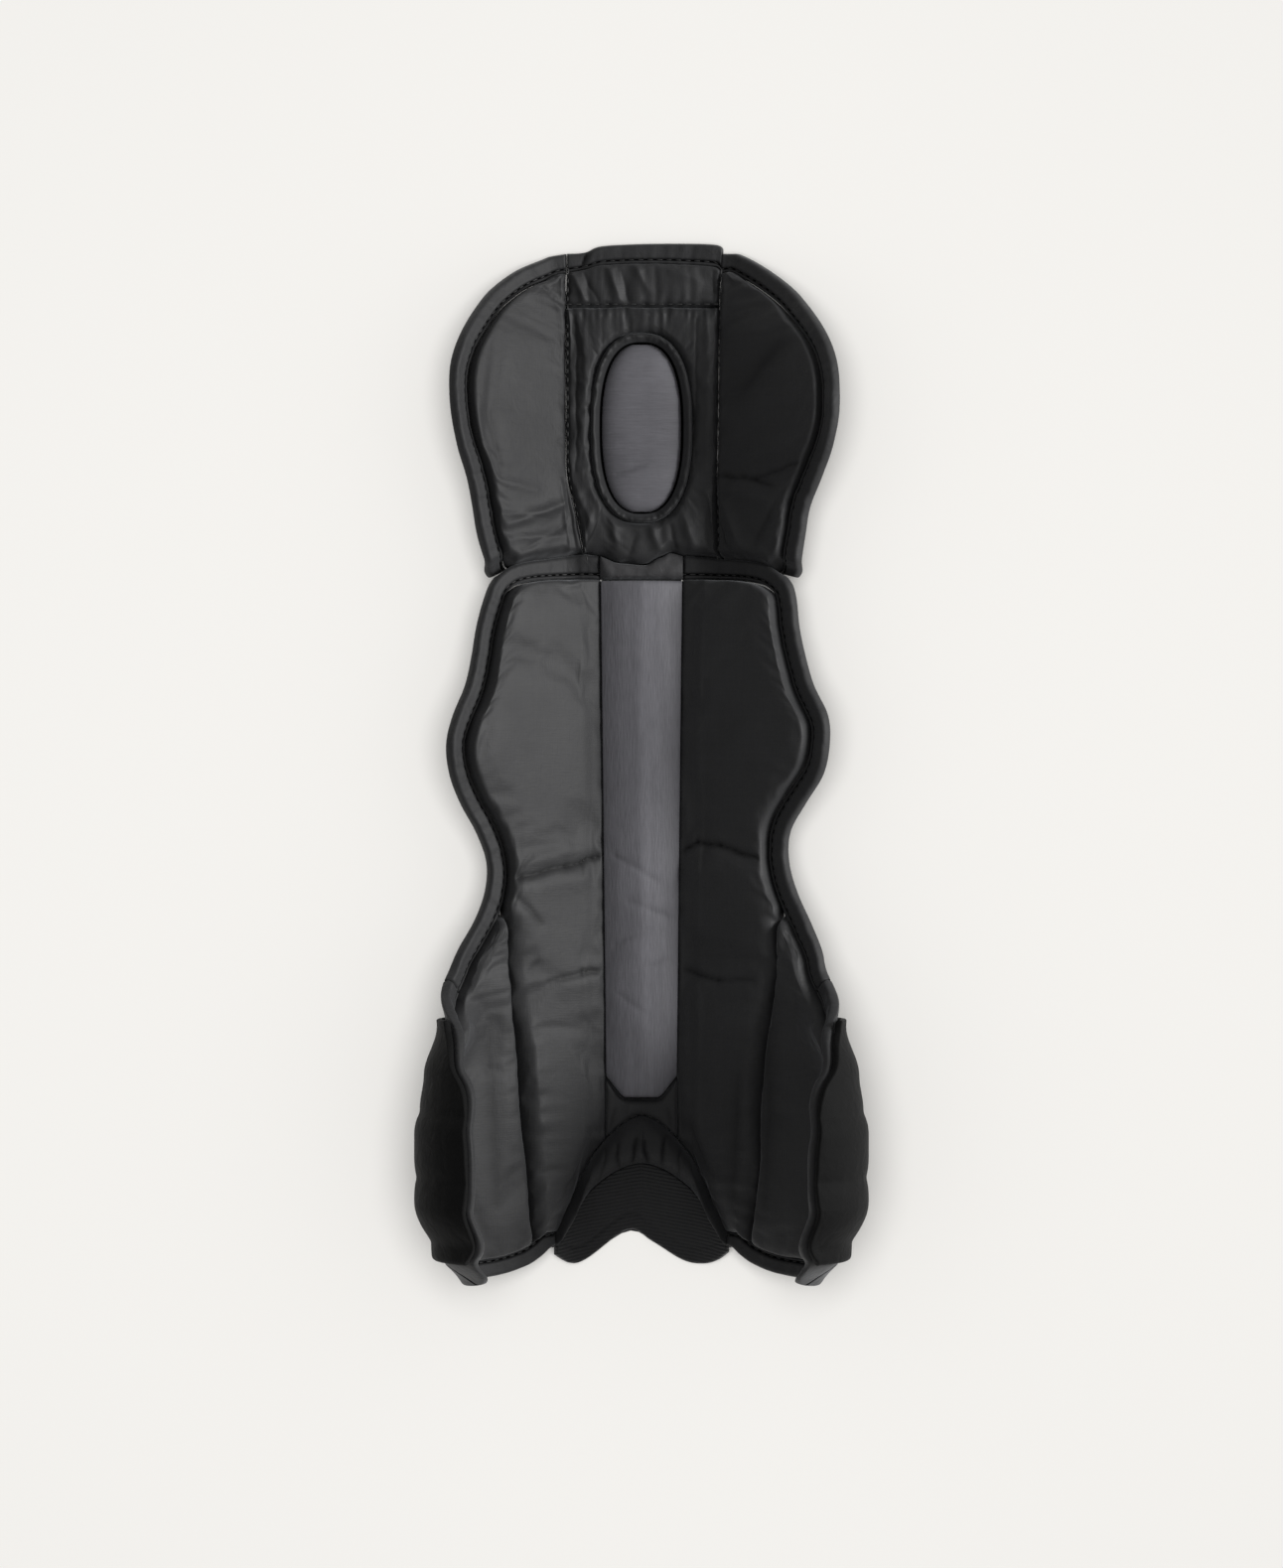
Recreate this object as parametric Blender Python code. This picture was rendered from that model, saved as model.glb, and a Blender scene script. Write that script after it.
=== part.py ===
"""A padded leg guard lying on its front, with its hollow side up.

The guard is cut flat and then folded into a trough. A place in the cut is (across, along): across
runs from the centre line round the fold, negative on the left, and along runs from the ankle tip
towards the knee. Each piece is laid out in the cut, given heights above the fold's outer face, and
folded with it, so neighbours always share their seam. +X is right, +Y runs to the knee, +Z is up,
and the origin is on the floor in the middle of the guard. Sizes are in millimetres until a mesh is
made.
"""

import math
from collections import namedtuple

import bmesh
import bpy

MM = 0.001

# Lengths along the guard
SHIN_LENGTH = 287.0
KNEE_LENGTH = 127.0
TOTAL_LENGTH = SHIN_LENGTH + KNEE_LENGTH
MIDDLE = TOTAL_LENGTH / 2

# Half widths as seen from above, and the wing's reach round the fold
SHIN_HALF = 76.6
KNEE_HALF = 78.5
WING_REACH = 146.0

# The folded trough
FLAT_HALF = 20.0
BEND_RUN = 12.0
PAD_SLOPE = 35.0
CURL_RUN = 62.0
CURL_SLOPE = 155.0

# Widths of the padded panels round the fold
PAD_WIDTH = 46.0
WING_WIDTH = 70.0
KNEE_WING_WIDTH = 40.0

# Thicknesses
PAD_THICKNESS = 10.0
KNEE_THICKNESS = 8.0
WING_THICKNESS = 9.0
SPINE_THICKNESS = 9.5
BAND_THICKNESS = 6.0
YOKE_THICKNESS = 6.0
BINDING_THICKNESS = 4.6
COVER_THICKNESS = 2.4
COVER_INSET = 1.0
FLAP_THICKNESS = 3.0
ROLL_THICKNESS = 13.0

# Seams and bindings
SEAM_GAP = 0.7
WIDE_GAP = 1.0
COVER_GAP = 0.9
SEAM_HEIGHT = 4.2
GROOVE_HEIGHT = 3.4
ROLLED_EDGE = 7.0
YOKE_ROLLED_EDGE = 3.0
KNEE_ROLLED_EDGE = 5.0
BINDING_WIDTH = 8.0
CORNER_RUN = 3.0
CORNER_CLEARANCE = 5.0

# The centre strip, as half widths and places along
SPINE_TOP_HALF = 17.0
SPINE_END_HALF = 14.6
SPINE_START = 0.275 * SHIN_LENGTH
SPINE_CHAMFER = 9.0
SPINE_CHAMFER_HALF = 7.5
SPINE_EDGE_HEIGHT = 5.0

# The arch over the instep: its seam with the pads, its lower line and the flap's lobes
ARCH_HALF = 38.0
ARCH_FOOT = 17.0
ARCH_TOP = 0.221 * SHIN_LENGTH
ARCH_POWER = 1.6
LOWER_ARCH_HALF = 38.0
LOWER_ARCH_FOOT = 11.0
LOWER_ARCH_TOP = 0.153 * SHIN_LENGTH
LOWER_ARCH_POWER = 1.8
ROLL_PLEATS = 4
ROLL_PLEAT_DEPTH = 1.2
LOBE_HALF = 37.0
FLAP_CREASE = 1.2
FLAP_CREASE_AT = -4.0
FLAP_CREASE_RUN = 5.0
FLAP_LEAST = 3.0

# The knee
KNEE_SEAM = 31.0
GATHER_ALONG = SHIN_LENGTH + 0.795 * KNEE_LENGTH
GATHER_COUNT = 11
GATHER_DEPTH = 1.3
GATHER_REACH = 9.0
WINDOW_CENTRE = SHIN_LENGTH + 0.413 * KNEE_LENGTH
WINDOW_HALF_WIDTH = 20.6
WINDOW_HALF_LENGTH = 0.301 * KNEE_LENGTH
WINDOW_POWER = 2.5
TRIM_WIDTH = 4.2
TRIM_HEIGHT = 8.0
INSERT_EDGE_HEIGHT = 4.0
INSERT_DOME = 8.2

# Sections of the fold: where, as a share of the whole length, with the flat's half width and the pad's
# slope as shares, where round the fold the curl starts as a share of the wing's reach, and the
# curl's run and final slope as shares.
Fold = namedtuple("Fold", "station flat pad curl_start curl_run edge_slope")
FOLDS = [
    Fold(0.000, 1.00, 0.94, 0.46, 0.60, 0.82),
    Fold(0.030, 1.00, 0.94, 0.505, 0.82, 0.90),
    Fold(0.080, 1.00, 0.94, 0.55, 1.00, 1.00),
    Fold(0.145, 1.00, 0.94, 0.55, 1.00, 1.00),
    Fold(0.200, 1.00, 0.95, 0.53, 0.84, 0.92),
    Fold(0.245, 1.00, 0.96, 0.495, 0.60, 0.74),
    Fold(0.290, 1.00, 1.00, 0.50, 0.50, 0.48),
    Fold(0.345, 1.00, 1.04, 0.48, 0.50, 0.34),
    Fold(0.420, 1.00, 1.00, 0.48, 0.50, 0.30),
    Fold(0.515, 1.00, 1.06, 0.50, 0.50, 0.34),
    Fold(0.640, 1.05, 1.00, 0.45, 0.50, 0.32),
    Fold(0.720, 1.30, 1.10, 0.45, 0.50, 0.34),
    Fold(0.800, 1.45, 1.20, 0.48, 0.50, 0.38),
    Fold(0.900, 1.45, 1.10, 0.45, 0.50, 0.34),
    Fold(1.000, 1.45, 0.80, 0.45, 0.50, 0.24),
]

# Free edges as points seen from above: along as a share of the shin's or the knee's length, and the
# half widths on the left and the right as shares of the shin's or the knee's.
Edge = namedtuple("Edge", "along left right")
SHIN_EDGE = [
    Edge(1.000, 0.235, 0.235),
    Edge(0.999, 0.450, 0.440),
    Edge(0.995, 0.610, 0.600),
    Edge(0.986, 0.715, 0.700),
    Edge(0.966, 0.790, 0.785),
    Edge(0.943, 0.826, 0.813),
    Edge(0.902, 0.866, 0.829),
    Edge(0.861, 0.890, 0.860),
    Edge(0.820, 0.923, 0.903),
    Edge(0.779, 0.983, 0.972),
    Edge(0.739, 1.016, 0.980),
    Edge(0.698, 1.000, 0.950),
    Edge(0.657, 0.945, 0.860),
    Edge(0.617, 0.866, 0.782),
    Edge(0.576, 0.814, 0.777),
    Edge(0.535, 0.823, 0.818),
    Edge(0.495, 0.878, 0.884),
    Edge(0.456, 0.960, 0.943),
    Edge(0.417, 1.022, 0.983),
]
KNEE_EDGE = [
    Edge(0.985, 0.380, 0.440),
    Edge(0.950, 0.510, 0.560),
    Edge(0.909, 0.645, 0.660),
    Edge(0.854, 0.757, 0.766),
    Edge(0.803, 0.826, 0.836),
    Edge(0.704, 0.916, 0.935),
    Edge(0.610, 0.968, 0.990),
    Edge(0.518, 0.977, 1.005),
    Edge(0.425, 0.965, 1.000),
    Edge(0.333, 0.936, 0.971),
    Edge(0.242, 0.892, 0.920),
    Edge(0.150, 0.864, 0.862),
    Edge(0.059, 0.840, 0.838),
    Edge(-0.020, 0.800, 0.818),
]

# The wing's free edge and the lower end, in the cut: across as shares of the wing's reach.
WING_EDGE = [
    Edge(0.350, 0.775, 0.755),
    Edge(0.290, 0.905, 0.890),
    Edge(0.230, 0.985, 0.980),
    Edge(0.160, 1.000, 1.000),
    Edge(0.100, 0.985, 0.985),
    Edge(0.045, 0.900, 0.900),
    Edge(0.012, 0.800, 0.800),
]
BOTTOM_EDGE = [
    Edge(0.000, 0.700, 0.700),
    Edge(0.000, 0.560, 0.560),
    Edge(0.004, 0.430, 0.430),
    Edge(0.018, 0.330, 0.330),
    Edge(0.040, 0.268, 0.268),
]
GROOVE = [
    Edge(0.420, 0.425, 0.435),
    Edge(0.330, 0.400, 0.400),
    Edge(0.240, 0.382, 0.378),
    Edge(0.150, 0.362, 0.368),
]
GROOVE_END = 0.345

# The knee's seams on either side of its middle, from the top hem to the shin.
KNEE_SEAMS = [
    Edge(0.905, 0.985, 1.050),
    Edge(0.795, 1.000, 1.040),
    Edge(0.420, 1.000, 1.020),
    Edge(0.260, 0.990, 1.010),
    Edge(0.160, 0.880, 1.060),
    Edge(0.001, 0.740, 1.100),
]

# The knee's top hem between its two corners: across as a share of the knee's seam, and along.
HEM_TOP = [(-0.72, 0.972), (-0.52, 0.992), (0.20, 1.000), (1.00, 0.996)]
HEM_FOOT = [(-0.70, 0.918), (-0.50, 0.930), (0.20, 0.935), (0.95, 0.925)]
HEM_CORNER = 0.968

# The flap's lower line: two lobes and a notch between them, as shares of the lobe's half width and
# of the arch's foot.
LOBES = [(-1.00, 0.46), (-0.80, 0.22), (-0.58, 0.34), (-0.15, 1.00), (0.12, 0.72), (0.45, 0.28),
         (0.68, 0.20), (0.86, 0.30), (1.00, 0.52)]

# Creases across each shin pad: where they leave the centre strip and where they end, as shares of
# the shin's length, how far across they reach and the share of the thickness that they press in.
Crease = namedtuple("Crease", "start end reach depth")
CREASES = {
    "left": [Crease(0.425, 0.408, 0.62, 0.38), Crease(0.586, 0.556, 1.0, 0.55)],
    "right": [Crease(0.425, 0.415, 0.75, 0.28), Crease(0.592, 0.585, 1.0, 0.48)],
}
CREASE_RUN = 4.5

BLACK_FABRIC = ("black_fabric", (0.035, 0.035, 0.035), 0.75)
BLACK_BINDING = ("black_binding", (0.030, 0.030, 0.030), 0.8)
RIBBED_FABRIC = ("ribbed_fabric", (0.022, 0.022, 0.022), 0.8)
GREY_FABRIC = ("grey_fabric", (0.125, 0.122, 0.135), 0.6)

SIDES = (("left", -1.0), ("right", 1.0))
STEPS = 5


def clear_scene():
    for item in list(bpy.data.objects):
        bpy.data.objects.remove(item)


def material_of(finish):
    name, colour, roughness = finish
    made = bpy.data.materials.get(name)
    if made is None:
        made = bpy.data.materials.new(name)
        made.use_nodes = True
        shader = made.node_tree.nodes["Principled BSDF"]
        shader.inputs["Base Color"].default_value = (*colour, 1.0)
        shader.inputs["Roughness"].default_value = roughness
        shader.inputs["Metallic"].default_value = 0.0
        made.diffuse_color = (*colour, 1.0)
    return made


def mix(start, end, share):
    return start + (end - start) * share


def ease(share):
    held = max(0.0, min(1.0, share))
    return held * held * (3.0 - 2.0 * held)


def through(points, steps=STEPS):
    """A smooth line through the chosen points, as many short straight runs."""
    line = []
    last = len(points) - 1
    for index in range(last):
        knots = [points[max(index - 1, 0)], points[index], points[index + 1],
                 points[min(index + 2, last)]]
        for step in range(steps):
            t = step / steps
            line.append(tuple(
                0.5 * (2 * s + (e - b) * t + (2 * b - 5 * s + 4 * e - a) * t * t
                       + (3 * s - b - 3 * e + a) * t ** 3)
                for b, s, e, a in zip(*knots)
            ))
    return line + [tuple(points[-1])]


def even(line, count):
    """The line again as a given number of equal runs."""
    runs = [math.dist(start, end) for start, end in zip(line, line[1:])]
    total = sum(runs)
    places = []
    for step in range(count + 1):
        left = total * step / count
        index = 0
        while index < len(runs) - 1 and left > runs[index]:
            left -= runs[index]
            index += 1
        share = min(1.0, left / runs[index])
        places.append(tuple(mix(s, e, share) for s, e in zip(line[index], line[index + 1])))
    return places


def at(line, share):
    """The place at a share of the way along a line."""
    runs = [math.dist(start, end) for start, end in zip(line, line[1:])]
    left = share * sum(runs)
    for index, run in enumerate(runs):
        if left <= run and run > 0:
            break
        left -= run
    share = min(1.0, left / runs[index]) if left > 0 else 0.0
    return tuple(mix(s, e, share) for s, e in zip(line[index], line[index + 1]))


def stations(line, every):
    """How far along a line each of its points lies, from 0 to 1, taking one in every few."""
    runs = [math.dist(start, end) for start, end in zip(line, line[1:])]
    return [sum(runs[:index]) / sum(runs) for index in range(0, len(line), every)]


def moved_in(line, distance):
    """The line set in by a distance, to the right of its travel down the right-hand side."""
    inner = []
    for index, place in enumerate(line):
        start = line[max(index - 1, 0)]
        end = line[min(index + 1, len(line) - 1)]
        run = math.dist(start, end)
        inner.append((
            place[0] + (end[1] - start[1]) / run * distance,
            place[1] - (end[0] - start[0]) / run * distance,
        ))
    return inner


def fold_at(along, column):
    """A column of the fold's table at any place along, smooth between its rows."""
    station = along / TOTAL_LENGTH
    if station <= FOLDS[0].station:
        return getattr(FOLDS[0], column)
    for start, end in zip(FOLDS, FOLDS[1:]):
        if station <= end.station:
            share = (station - start.station) / (end.station - start.station)
            return mix(getattr(start, column), getattr(end, column), ease(share))
    return getattr(FOLDS[-1], column)


def bends(along):
    """The slopes round the fold at one section, as (distance from the centre line, radians)."""
    flat = FLAT_HALF * fold_at(along, "flat")
    pad = math.radians(PAD_SLOPE * fold_at(along, "pad"))
    start = WING_REACH * fold_at(along, "curl_start")
    run = CURL_RUN * fold_at(along, "curl_run")
    edge = math.radians(CURL_SLOPE * fold_at(along, "edge_slope"))
    return [(0.0, 0.0), (flat, 0.0), (flat + BEND_RUN, pad), (start, pad), (start + run, edge),
            (WING_REACH * 2.0, edge)]


def profile(distance, along):
    """(x, z, slope) of the folded cut at a distance from the centre line, arc by arc."""
    x = z = slope = 0.0
    knots = bends(along)
    for (start, start_slope), (end, end_slope) in zip(knots, knots[1:]):
        run = min(distance, end) - start
        slope = mix(start_slope, end_slope, run / (end - start))
        turn = slope - start_slope
        if abs(turn) < 1e-6:
            x += run * math.cos(slope)
            z += run * math.sin(slope)
        else:
            x += run * (math.sin(slope) - math.sin(start_slope)) / turn
            z += run * (math.cos(start_slope) - math.cos(slope)) / turn
        if distance <= end:
            break
    return x, z, slope


def unfolded(x, along):
    """How far round the fold a point lies that is seen at x from above."""
    low, high = 0.0, WING_REACH
    for _ in range(40):
        middle = (low + high) / 2
        if profile(middle, along)[0] < x:
            low = middle
        else:
            high = middle
    return low


def folded(across, along, height):
    """The place in space of a point of the cut, at a height above the fold's outer face."""
    side = -1.0 if across < 0 else 1.0
    x, z, slope = profile(abs(across), along)
    x -= height * math.sin(slope)
    z += height * math.cos(slope)
    return side * x * MM, (along - MIDDLE) * MM, z * MM


def seen(table, side_name, half, length, base=0.0):
    """A table of points seen from above, laid out in the cut."""
    points = [(getattr(row, side_name) * half, base + row.along * length) for row in table]
    return [(unfolded(x, along), along) for x, along in points]


def in_cut(table, side_name, reach, length):
    return [(getattr(row, side_name) * reach, row.along * length) for row in table]


def rise(distance, roll):
    """How far a stuffed edge has swelled at a distance from its seam, from 0 to 1."""
    share = min(1.0, distance / roll)
    return math.sqrt(max(0.0, 1.0 - (1.0 - share) ** 2))


def stuffed(net, thickness, seams, roll=ROLLED_EDGE):
    """Heights over a net that fall to each seam's own height at the borders.

    seams holds the heights at the first column, last column, first row and last row.
    """
    heights = []
    for i, row in enumerate(net):
        heights.append([])
        for j, place in enumerate(row):
            borders = (row[0], row[-1], net[0][j], net[-1][j])
            share = 1.0
            for border, seam in zip(borders, seams):
                least = seam / thickness
                share *= least + (1.0 - least) * rise(math.dist(place, border), roll)
            heights[i].append(max(thickness * share, min(seams)))
    return heights


def level(net, height):
    return [[height] * len(row) for row in net]


def set_in(net, wrap=False, gap=SEAM_GAP):
    """The net with its borders drawn in by half a seam's gap."""
    rows, columns = len(net), len(net[0])
    drawn = [list(row) for row in net]
    for i in range(rows):
        for j in range(columns):
            pulls = []
            if not wrap and i in (0, rows - 1):
                pulls.append(net[1 if i == 0 else rows - 2][j])
            if j in (0, columns - 1):
                pulls.append(net[i][1 if j == 0 else columns - 2])
            across, along = net[i][j]
            for pull in pulls:
                run = math.dist(net[i][j], pull)
                across += (pull[0] - net[i][j][0]) / run * gap / 2
                along += (pull[1] - net[i][j][1]) / run * gap / 2
            drawn[i][j] = (across, along)
    return drawn


def body(name, net, top, bottom, finish, wrap=False, gap=SEAM_GAP):
    """One closed body between two heights over a net of the cut: a loft through its rows."""
    net = set_in(net, wrap, gap)
    mesh = bmesh.new()
    layers = [
        [[mesh.verts.new(folded(*place, height)) for place, height in zip(row, row_heights)]
         for row, row_heights in zip(net, heights)]
        for heights in (bottom, top)
    ]
    low, high = layers
    rows, columns = len(net), len(net[0])
    for i in range(rows if wrap else rows - 1):
        k = (i + 1) % rows
        for j in range(columns - 1):
            for layer in layers:
                mesh.faces.new((layer[i][j], layer[i][j + 1], layer[k][j + 1], layer[k][j]))
        for j in (0, columns - 1):
            mesh.faces.new((low[i][j], low[k][j], high[k][j], high[i][j]))
    if not wrap:
        for i in (0, rows - 1):
            for j in range(columns - 1):
                mesh.faces.new((low[i][j], low[i][j + 1], high[i][j + 1], high[i][j]))
    bmesh.ops.recalc_face_normals(mesh, faces=mesh.faces)
    if mesh.calc_volume(signed=True) < 0.0:
        bmesh.ops.reverse_faces(mesh, faces=mesh.faces)
    data = bpy.data.meshes.new(name)
    mesh.to_mesh(data)
    mesh.free()
    data.materials.append(material_of(finish))
    data.shade_smooth()
    data.set_sharp_from_angle(angle=math.radians(50))
    made = bpy.data.objects.new(name, data)
    bpy.data.collections["leg_guard"].objects.link(made)
    return made


def shares(count):
    return [step / count for step in range(count + 1)]


def edged(width, middle, roll=ROLLED_EDGE):
    """Shares across a piece, close together where its edges swell."""
    edge = [step * min(roll / width, 0.3) for step in (0.0, 0.15, 0.5, 1.0)]
    inner = [mix(edge[-1], 1.0 - edge[-1], (step + 1) / (middle + 1)) for step in range(middle)]
    return edge + inner + [1.0 - step for step in reversed(edge)]


def patch(first, last, near, far, rows, columns):
    """A net between four lines of the cut that meet at their ends."""
    net = []
    for row in rows:
        start, end = at(near, row), at(far, row)
        points = []
        for column in columns:
            one, other = at(first, column), at(last, column)
            corners = mix(mix(first[0][0], first[-1][0], column), mix(last[0][0], last[-1][0], column),
                          row), mix(mix(first[0][1], first[-1][1], column),
                                    mix(last[0][1], last[-1][1], column), row)
            points.append(tuple(
                mix(one[k], other[k], row) + mix(start[k], end[k], column) - corners[k]
                for k in (0, 1)
            ))
        net.append(points)
    return net


def strip(outer, inner, columns):
    return [[tuple(mix(o, i, column) for o, i in zip(*pair)) for column in columns]
            for pair in zip(outer, inner)]


def on_side(net, side):
    return [[(side * across, along) for across, along in row] for row in net]


def binding(name, outer, inner, side, thickness=BINDING_THICKNESS):
    """A folded hem: thin at the free edge, full in the middle and a little lower at its seam."""
    columns = (0.0, 0.22, 0.72, 1.0)
    net = on_side(strip(outer, inner, columns), side)
    top = [[thickness * share for share in (0.62, 1.0, 0.98, 0.74)] for _ in net]
    bottom = [[thickness * share for share in (0.22, 0.0, 0.0, 0.0)] for _ in net]
    body(name, net, top, bottom, BLACK_BINDING)


def spine_half(along):
    share = (along - SPINE_START) / (SHIN_LENGTH - SPINE_START)
    return mix(SPINE_END_HALF, SPINE_TOP_HALF, max(0.0, min(1.0, share)))


def arch_along(share, lower=False):
    """The arch's line at a share of its half width."""
    foot = LOWER_ARCH_FOOT if lower else ARCH_FOOT
    top = LOWER_ARCH_TOP if lower else ARCH_TOP
    power = LOWER_ARCH_POWER if lower else ARCH_POWER
    return mix(top, foot, abs(share) ** power)


def inner_side():
    """The pad's border beside the centre strip and the yoke, then round the arch to its foot."""
    top = SHIN_LENGTH - BINDING_WIDTH
    line = [(spine_half(mix(top, SPINE_START, step)), mix(top, SPINE_START, step))
            for step in shares(24)]
    meets = SPINE_END_HALF / ARCH_HALF
    line += [(mix(meets, 1.0, step) * ARCH_HALF, arch_along(mix(meets, 1.0, step)))
             for step in shares(14)]
    return line


def pressed(net, heights, creases, far):
    """Heights over a shin pad with its creases pressed in."""
    for row, row_heights in zip(net, heights):
        for j, (across, along) in enumerate(row):
            share = min(1.0, (abs(across) - SPINE_END_HALF) / (far - SPINE_END_HALF))
            for crease in creases:
                line = mix(crease.start, crease.end, share) * SHIN_LENGTH
                near = math.exp(-((along - line) / CREASE_RUN) ** 2)
                fade = 1.0 - ease((share - crease.reach + 0.25) / 0.25) if crease.reach < 1 else 1.0
                row_heights[j] *= 1.0 - crease.depth * near * fade
    return heights


def shin_side(side_name, side):
    """The pad, the wing and their bindings on one side of the shin."""
    outer = through(
        seen(SHIN_EDGE, side_name, SHIN_HALF, SHIN_LENGTH)
        + in_cut(WING_EDGE + BOTTOM_EDGE, side_name, WING_REACH, SHIN_LENGTH), STEPS)
    inner = moved_in(outer, BINDING_WIDTH)
    corner = STEPS * (len(SHIN_EDGE) - 1)
    tip = corner + STEPS * len(WING_EDGE) + 3
    inner[0] = (inner_side()[0][0], SHIN_LENGTH - BINDING_WIDTH)
    outer[0] = (inner[0][0], outer[0][1])
    inner[-1] = (ARCH_HALF, ARCH_FOOT)
    outer[-1] = (ARCH_HALF, outer[-1][1])

    groove_top = GROOVE[0].along * 1.24 * SHIN_LENGTH
    groove_start = min(range(0, corner, 2), key=lambda i: abs(inner[i][1] - groove_top))
    groove_end = min(range(tip, len(inner)),
                     key=lambda i: abs(inner[i][0] - GROOVE_END * WING_REACH))
    groove = through([inner[groove_start]] + in_cut(GROOVE, side_name, WING_REACH, SHIN_LENGTH)
                     + [inner[groove_end]])

    shoulder = 5 * STEPS
    pad_net = patch(
        inner[:shoulder + 1], inner[groove_end:][::-1], inner_side(),
        inner[shoulder:groove_start] + groove, shares(24), edged(PAD_WIDTH, 1),
    )
    seams = (SEAM_HEIGHT, SEAM_HEIGHT, SEAM_HEIGHT, SEAM_HEIGHT)
    heights = stuffed(pad_net, PAD_THICKNESS, seams)
    heights = pressed(pad_net, heights, CREASES[side_name], SHIN_HALF * 0.9)
    pad_net = on_side(pad_net, side)
    body(f"shin_pad_{side_name}", pad_net, heights, level(pad_net, 0.0), BLACK_FABRIC, gap=WIDE_GAP)

    fold_edge = inner[groove_start + 4:tip + 1]
    wing_groove = groove[2:]
    wing_net = patch(
        [wing_groove[0], fold_edge[0]], inner[tip:groove_end + 1][::-1], wing_groove,
        fold_edge, stations(fold_edge, 2), edged(WING_WIDTH, 3),
    )
    seams = (GROOVE_HEIGHT, SEAM_HEIGHT, SEAM_HEIGHT, SEAM_HEIGHT)
    heights = stuffed(wing_net, WING_THICKNESS, seams)
    wing_net = on_side(wing_net, side)
    body(f"ankle_wing_{side_name}", wing_net, heights, level(wing_net, 0.0), BLACK_FABRIC, gap=WIDE_GAP)

    binding(f"shin_binding_{side_name}", outer[:corner + 1:2], inner[:corner + 1:2], side)
    binding(f"wing_binding_{side_name}", outer[corner:tip + 1:2], inner[corner:tip + 1:2], side)
    binding(f"bottom_binding_{side_name}", outer[tip::2], inner[tip::2], side)


def centre_pieces():
    """The spine, its top band, the yoke, the arch roll and the instep flap."""
    top = SHIN_LENGTH - BINDING_WIDTH
    columns = (-1.0, -0.9, -0.6, -0.2, 0.2, 0.6, 0.9, 1.0)

    def dome(edge, middle, share):
        return mix(middle, edge, abs(share) ** 2.2)

    def spine_end(share):
        half = SPINE_CHAMFER_HALF / SPINE_END_HALF
        return SPINE_START - SPINE_CHAMFER * min(1.0, (1.0 - abs(share)) / (1.0 - half))

    spine = []
    for row in shares(10):
        spine.append([])
        for share in columns:
            along = mix(spine_end(share), top, row)
            spine[-1].append((share * spine_half(along), along))
    heights = [[dome(SPINE_EDGE_HEIGHT, SPINE_THICKNESS, share) for share in columns] for _ in spine]
    body("shin_spine", spine, heights, level(spine, 0.0), GREY_FABRIC)

    band = [[(share * spine_half(along), along) for share in columns]
            for along in (top, mix(top, SHIN_LENGTH, 0.25), mix(top, SHIN_LENGTH, 0.8), SHIN_LENGTH)]
    heights = [[BAND_THICKNESS * mix(1.0, 0.8, abs(share)) * level_share for share in columns]
               for level_share in (0.8, 1.0, 1.0, 0.6)]
    body("spine_top_band", band, heights, level(band, 0.0), BLACK_BINDING)

    yoke = []
    for row in shares(3):
        yoke.append([])
        for share in columns:
            across = share * SPINE_END_HALF
            yoke[-1].append((across, mix(arch_along(across / ARCH_HALF), spine_end(share), row)))
    seams = (SEAM_HEIGHT, SEAM_HEIGHT, SEAM_HEIGHT, GROOVE_HEIGHT)
    heights = stuffed(yoke, YOKE_THICKNESS, seams, roll=YOKE_ROLLED_EDGE)
    body("arch_yoke", yoke, heights, level(yoke, 0.0), BLACK_FABRIC, gap=WIDE_GAP)

    turns = [mix(-1.0, 1.0, step) for step in shares(24)]
    roll = [[(mix(turn * ARCH_HALF, turn * LOWER_ARCH_HALF, column),
              mix(arch_along(turn), arch_along(turn, lower=True), column))
             for column in (0.0, 0.1, 0.3, 0.65, 0.9, 1.0)] for turn in turns]
    heights = []
    for turn in turns:
        pleat = 0.5 - 0.5 * math.cos(turn * 3.0 * ROLL_PLEATS * math.pi)
        full = ROLL_THICKNESS * mix(1.0, 0.62, turn * turn)
        full -= ROLL_PLEAT_DEPTH * pleat * max(0.0, 1.0 - abs(turn) * 1.6)
        heights.append([full * share for share in (0.36, 0.66, 0.95, 1.0, 0.72, 0.36)])
    body("arch_roll", roll, heights, level(roll, 0.0), BLACK_FABRIC)

    lobes = through([(share * LOBE_HALF, foot * ARCH_FOOT) for share, foot in LOBES], steps=2)
    flap = []
    for row in shares(4):
        flap.append([])
        for across, along in lobes:
            upper = arch_along(across / LOWER_ARCH_HALF, lower=True)
            flap[-1].append((across, mix(along, max(upper, along + FLAP_LEAST), row)))
    heights = [[FLAP_THICKNESS - FLAP_CREASE * math.exp(-((across - FLAP_CREASE_AT) / FLAP_CREASE_RUN) ** 2)
                for across, _ in row] for row in flap]
    body("instep_flap", flap, heights, level(flap, 0.0), RIBBED_FABRIC)


def knee_seam(side_name):
    return through([(getattr(row, side_name) * KNEE_SEAM, SHIN_LENGTH + row.along * KNEE_LENGTH)
                    for row in KNEE_SEAMS])


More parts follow.
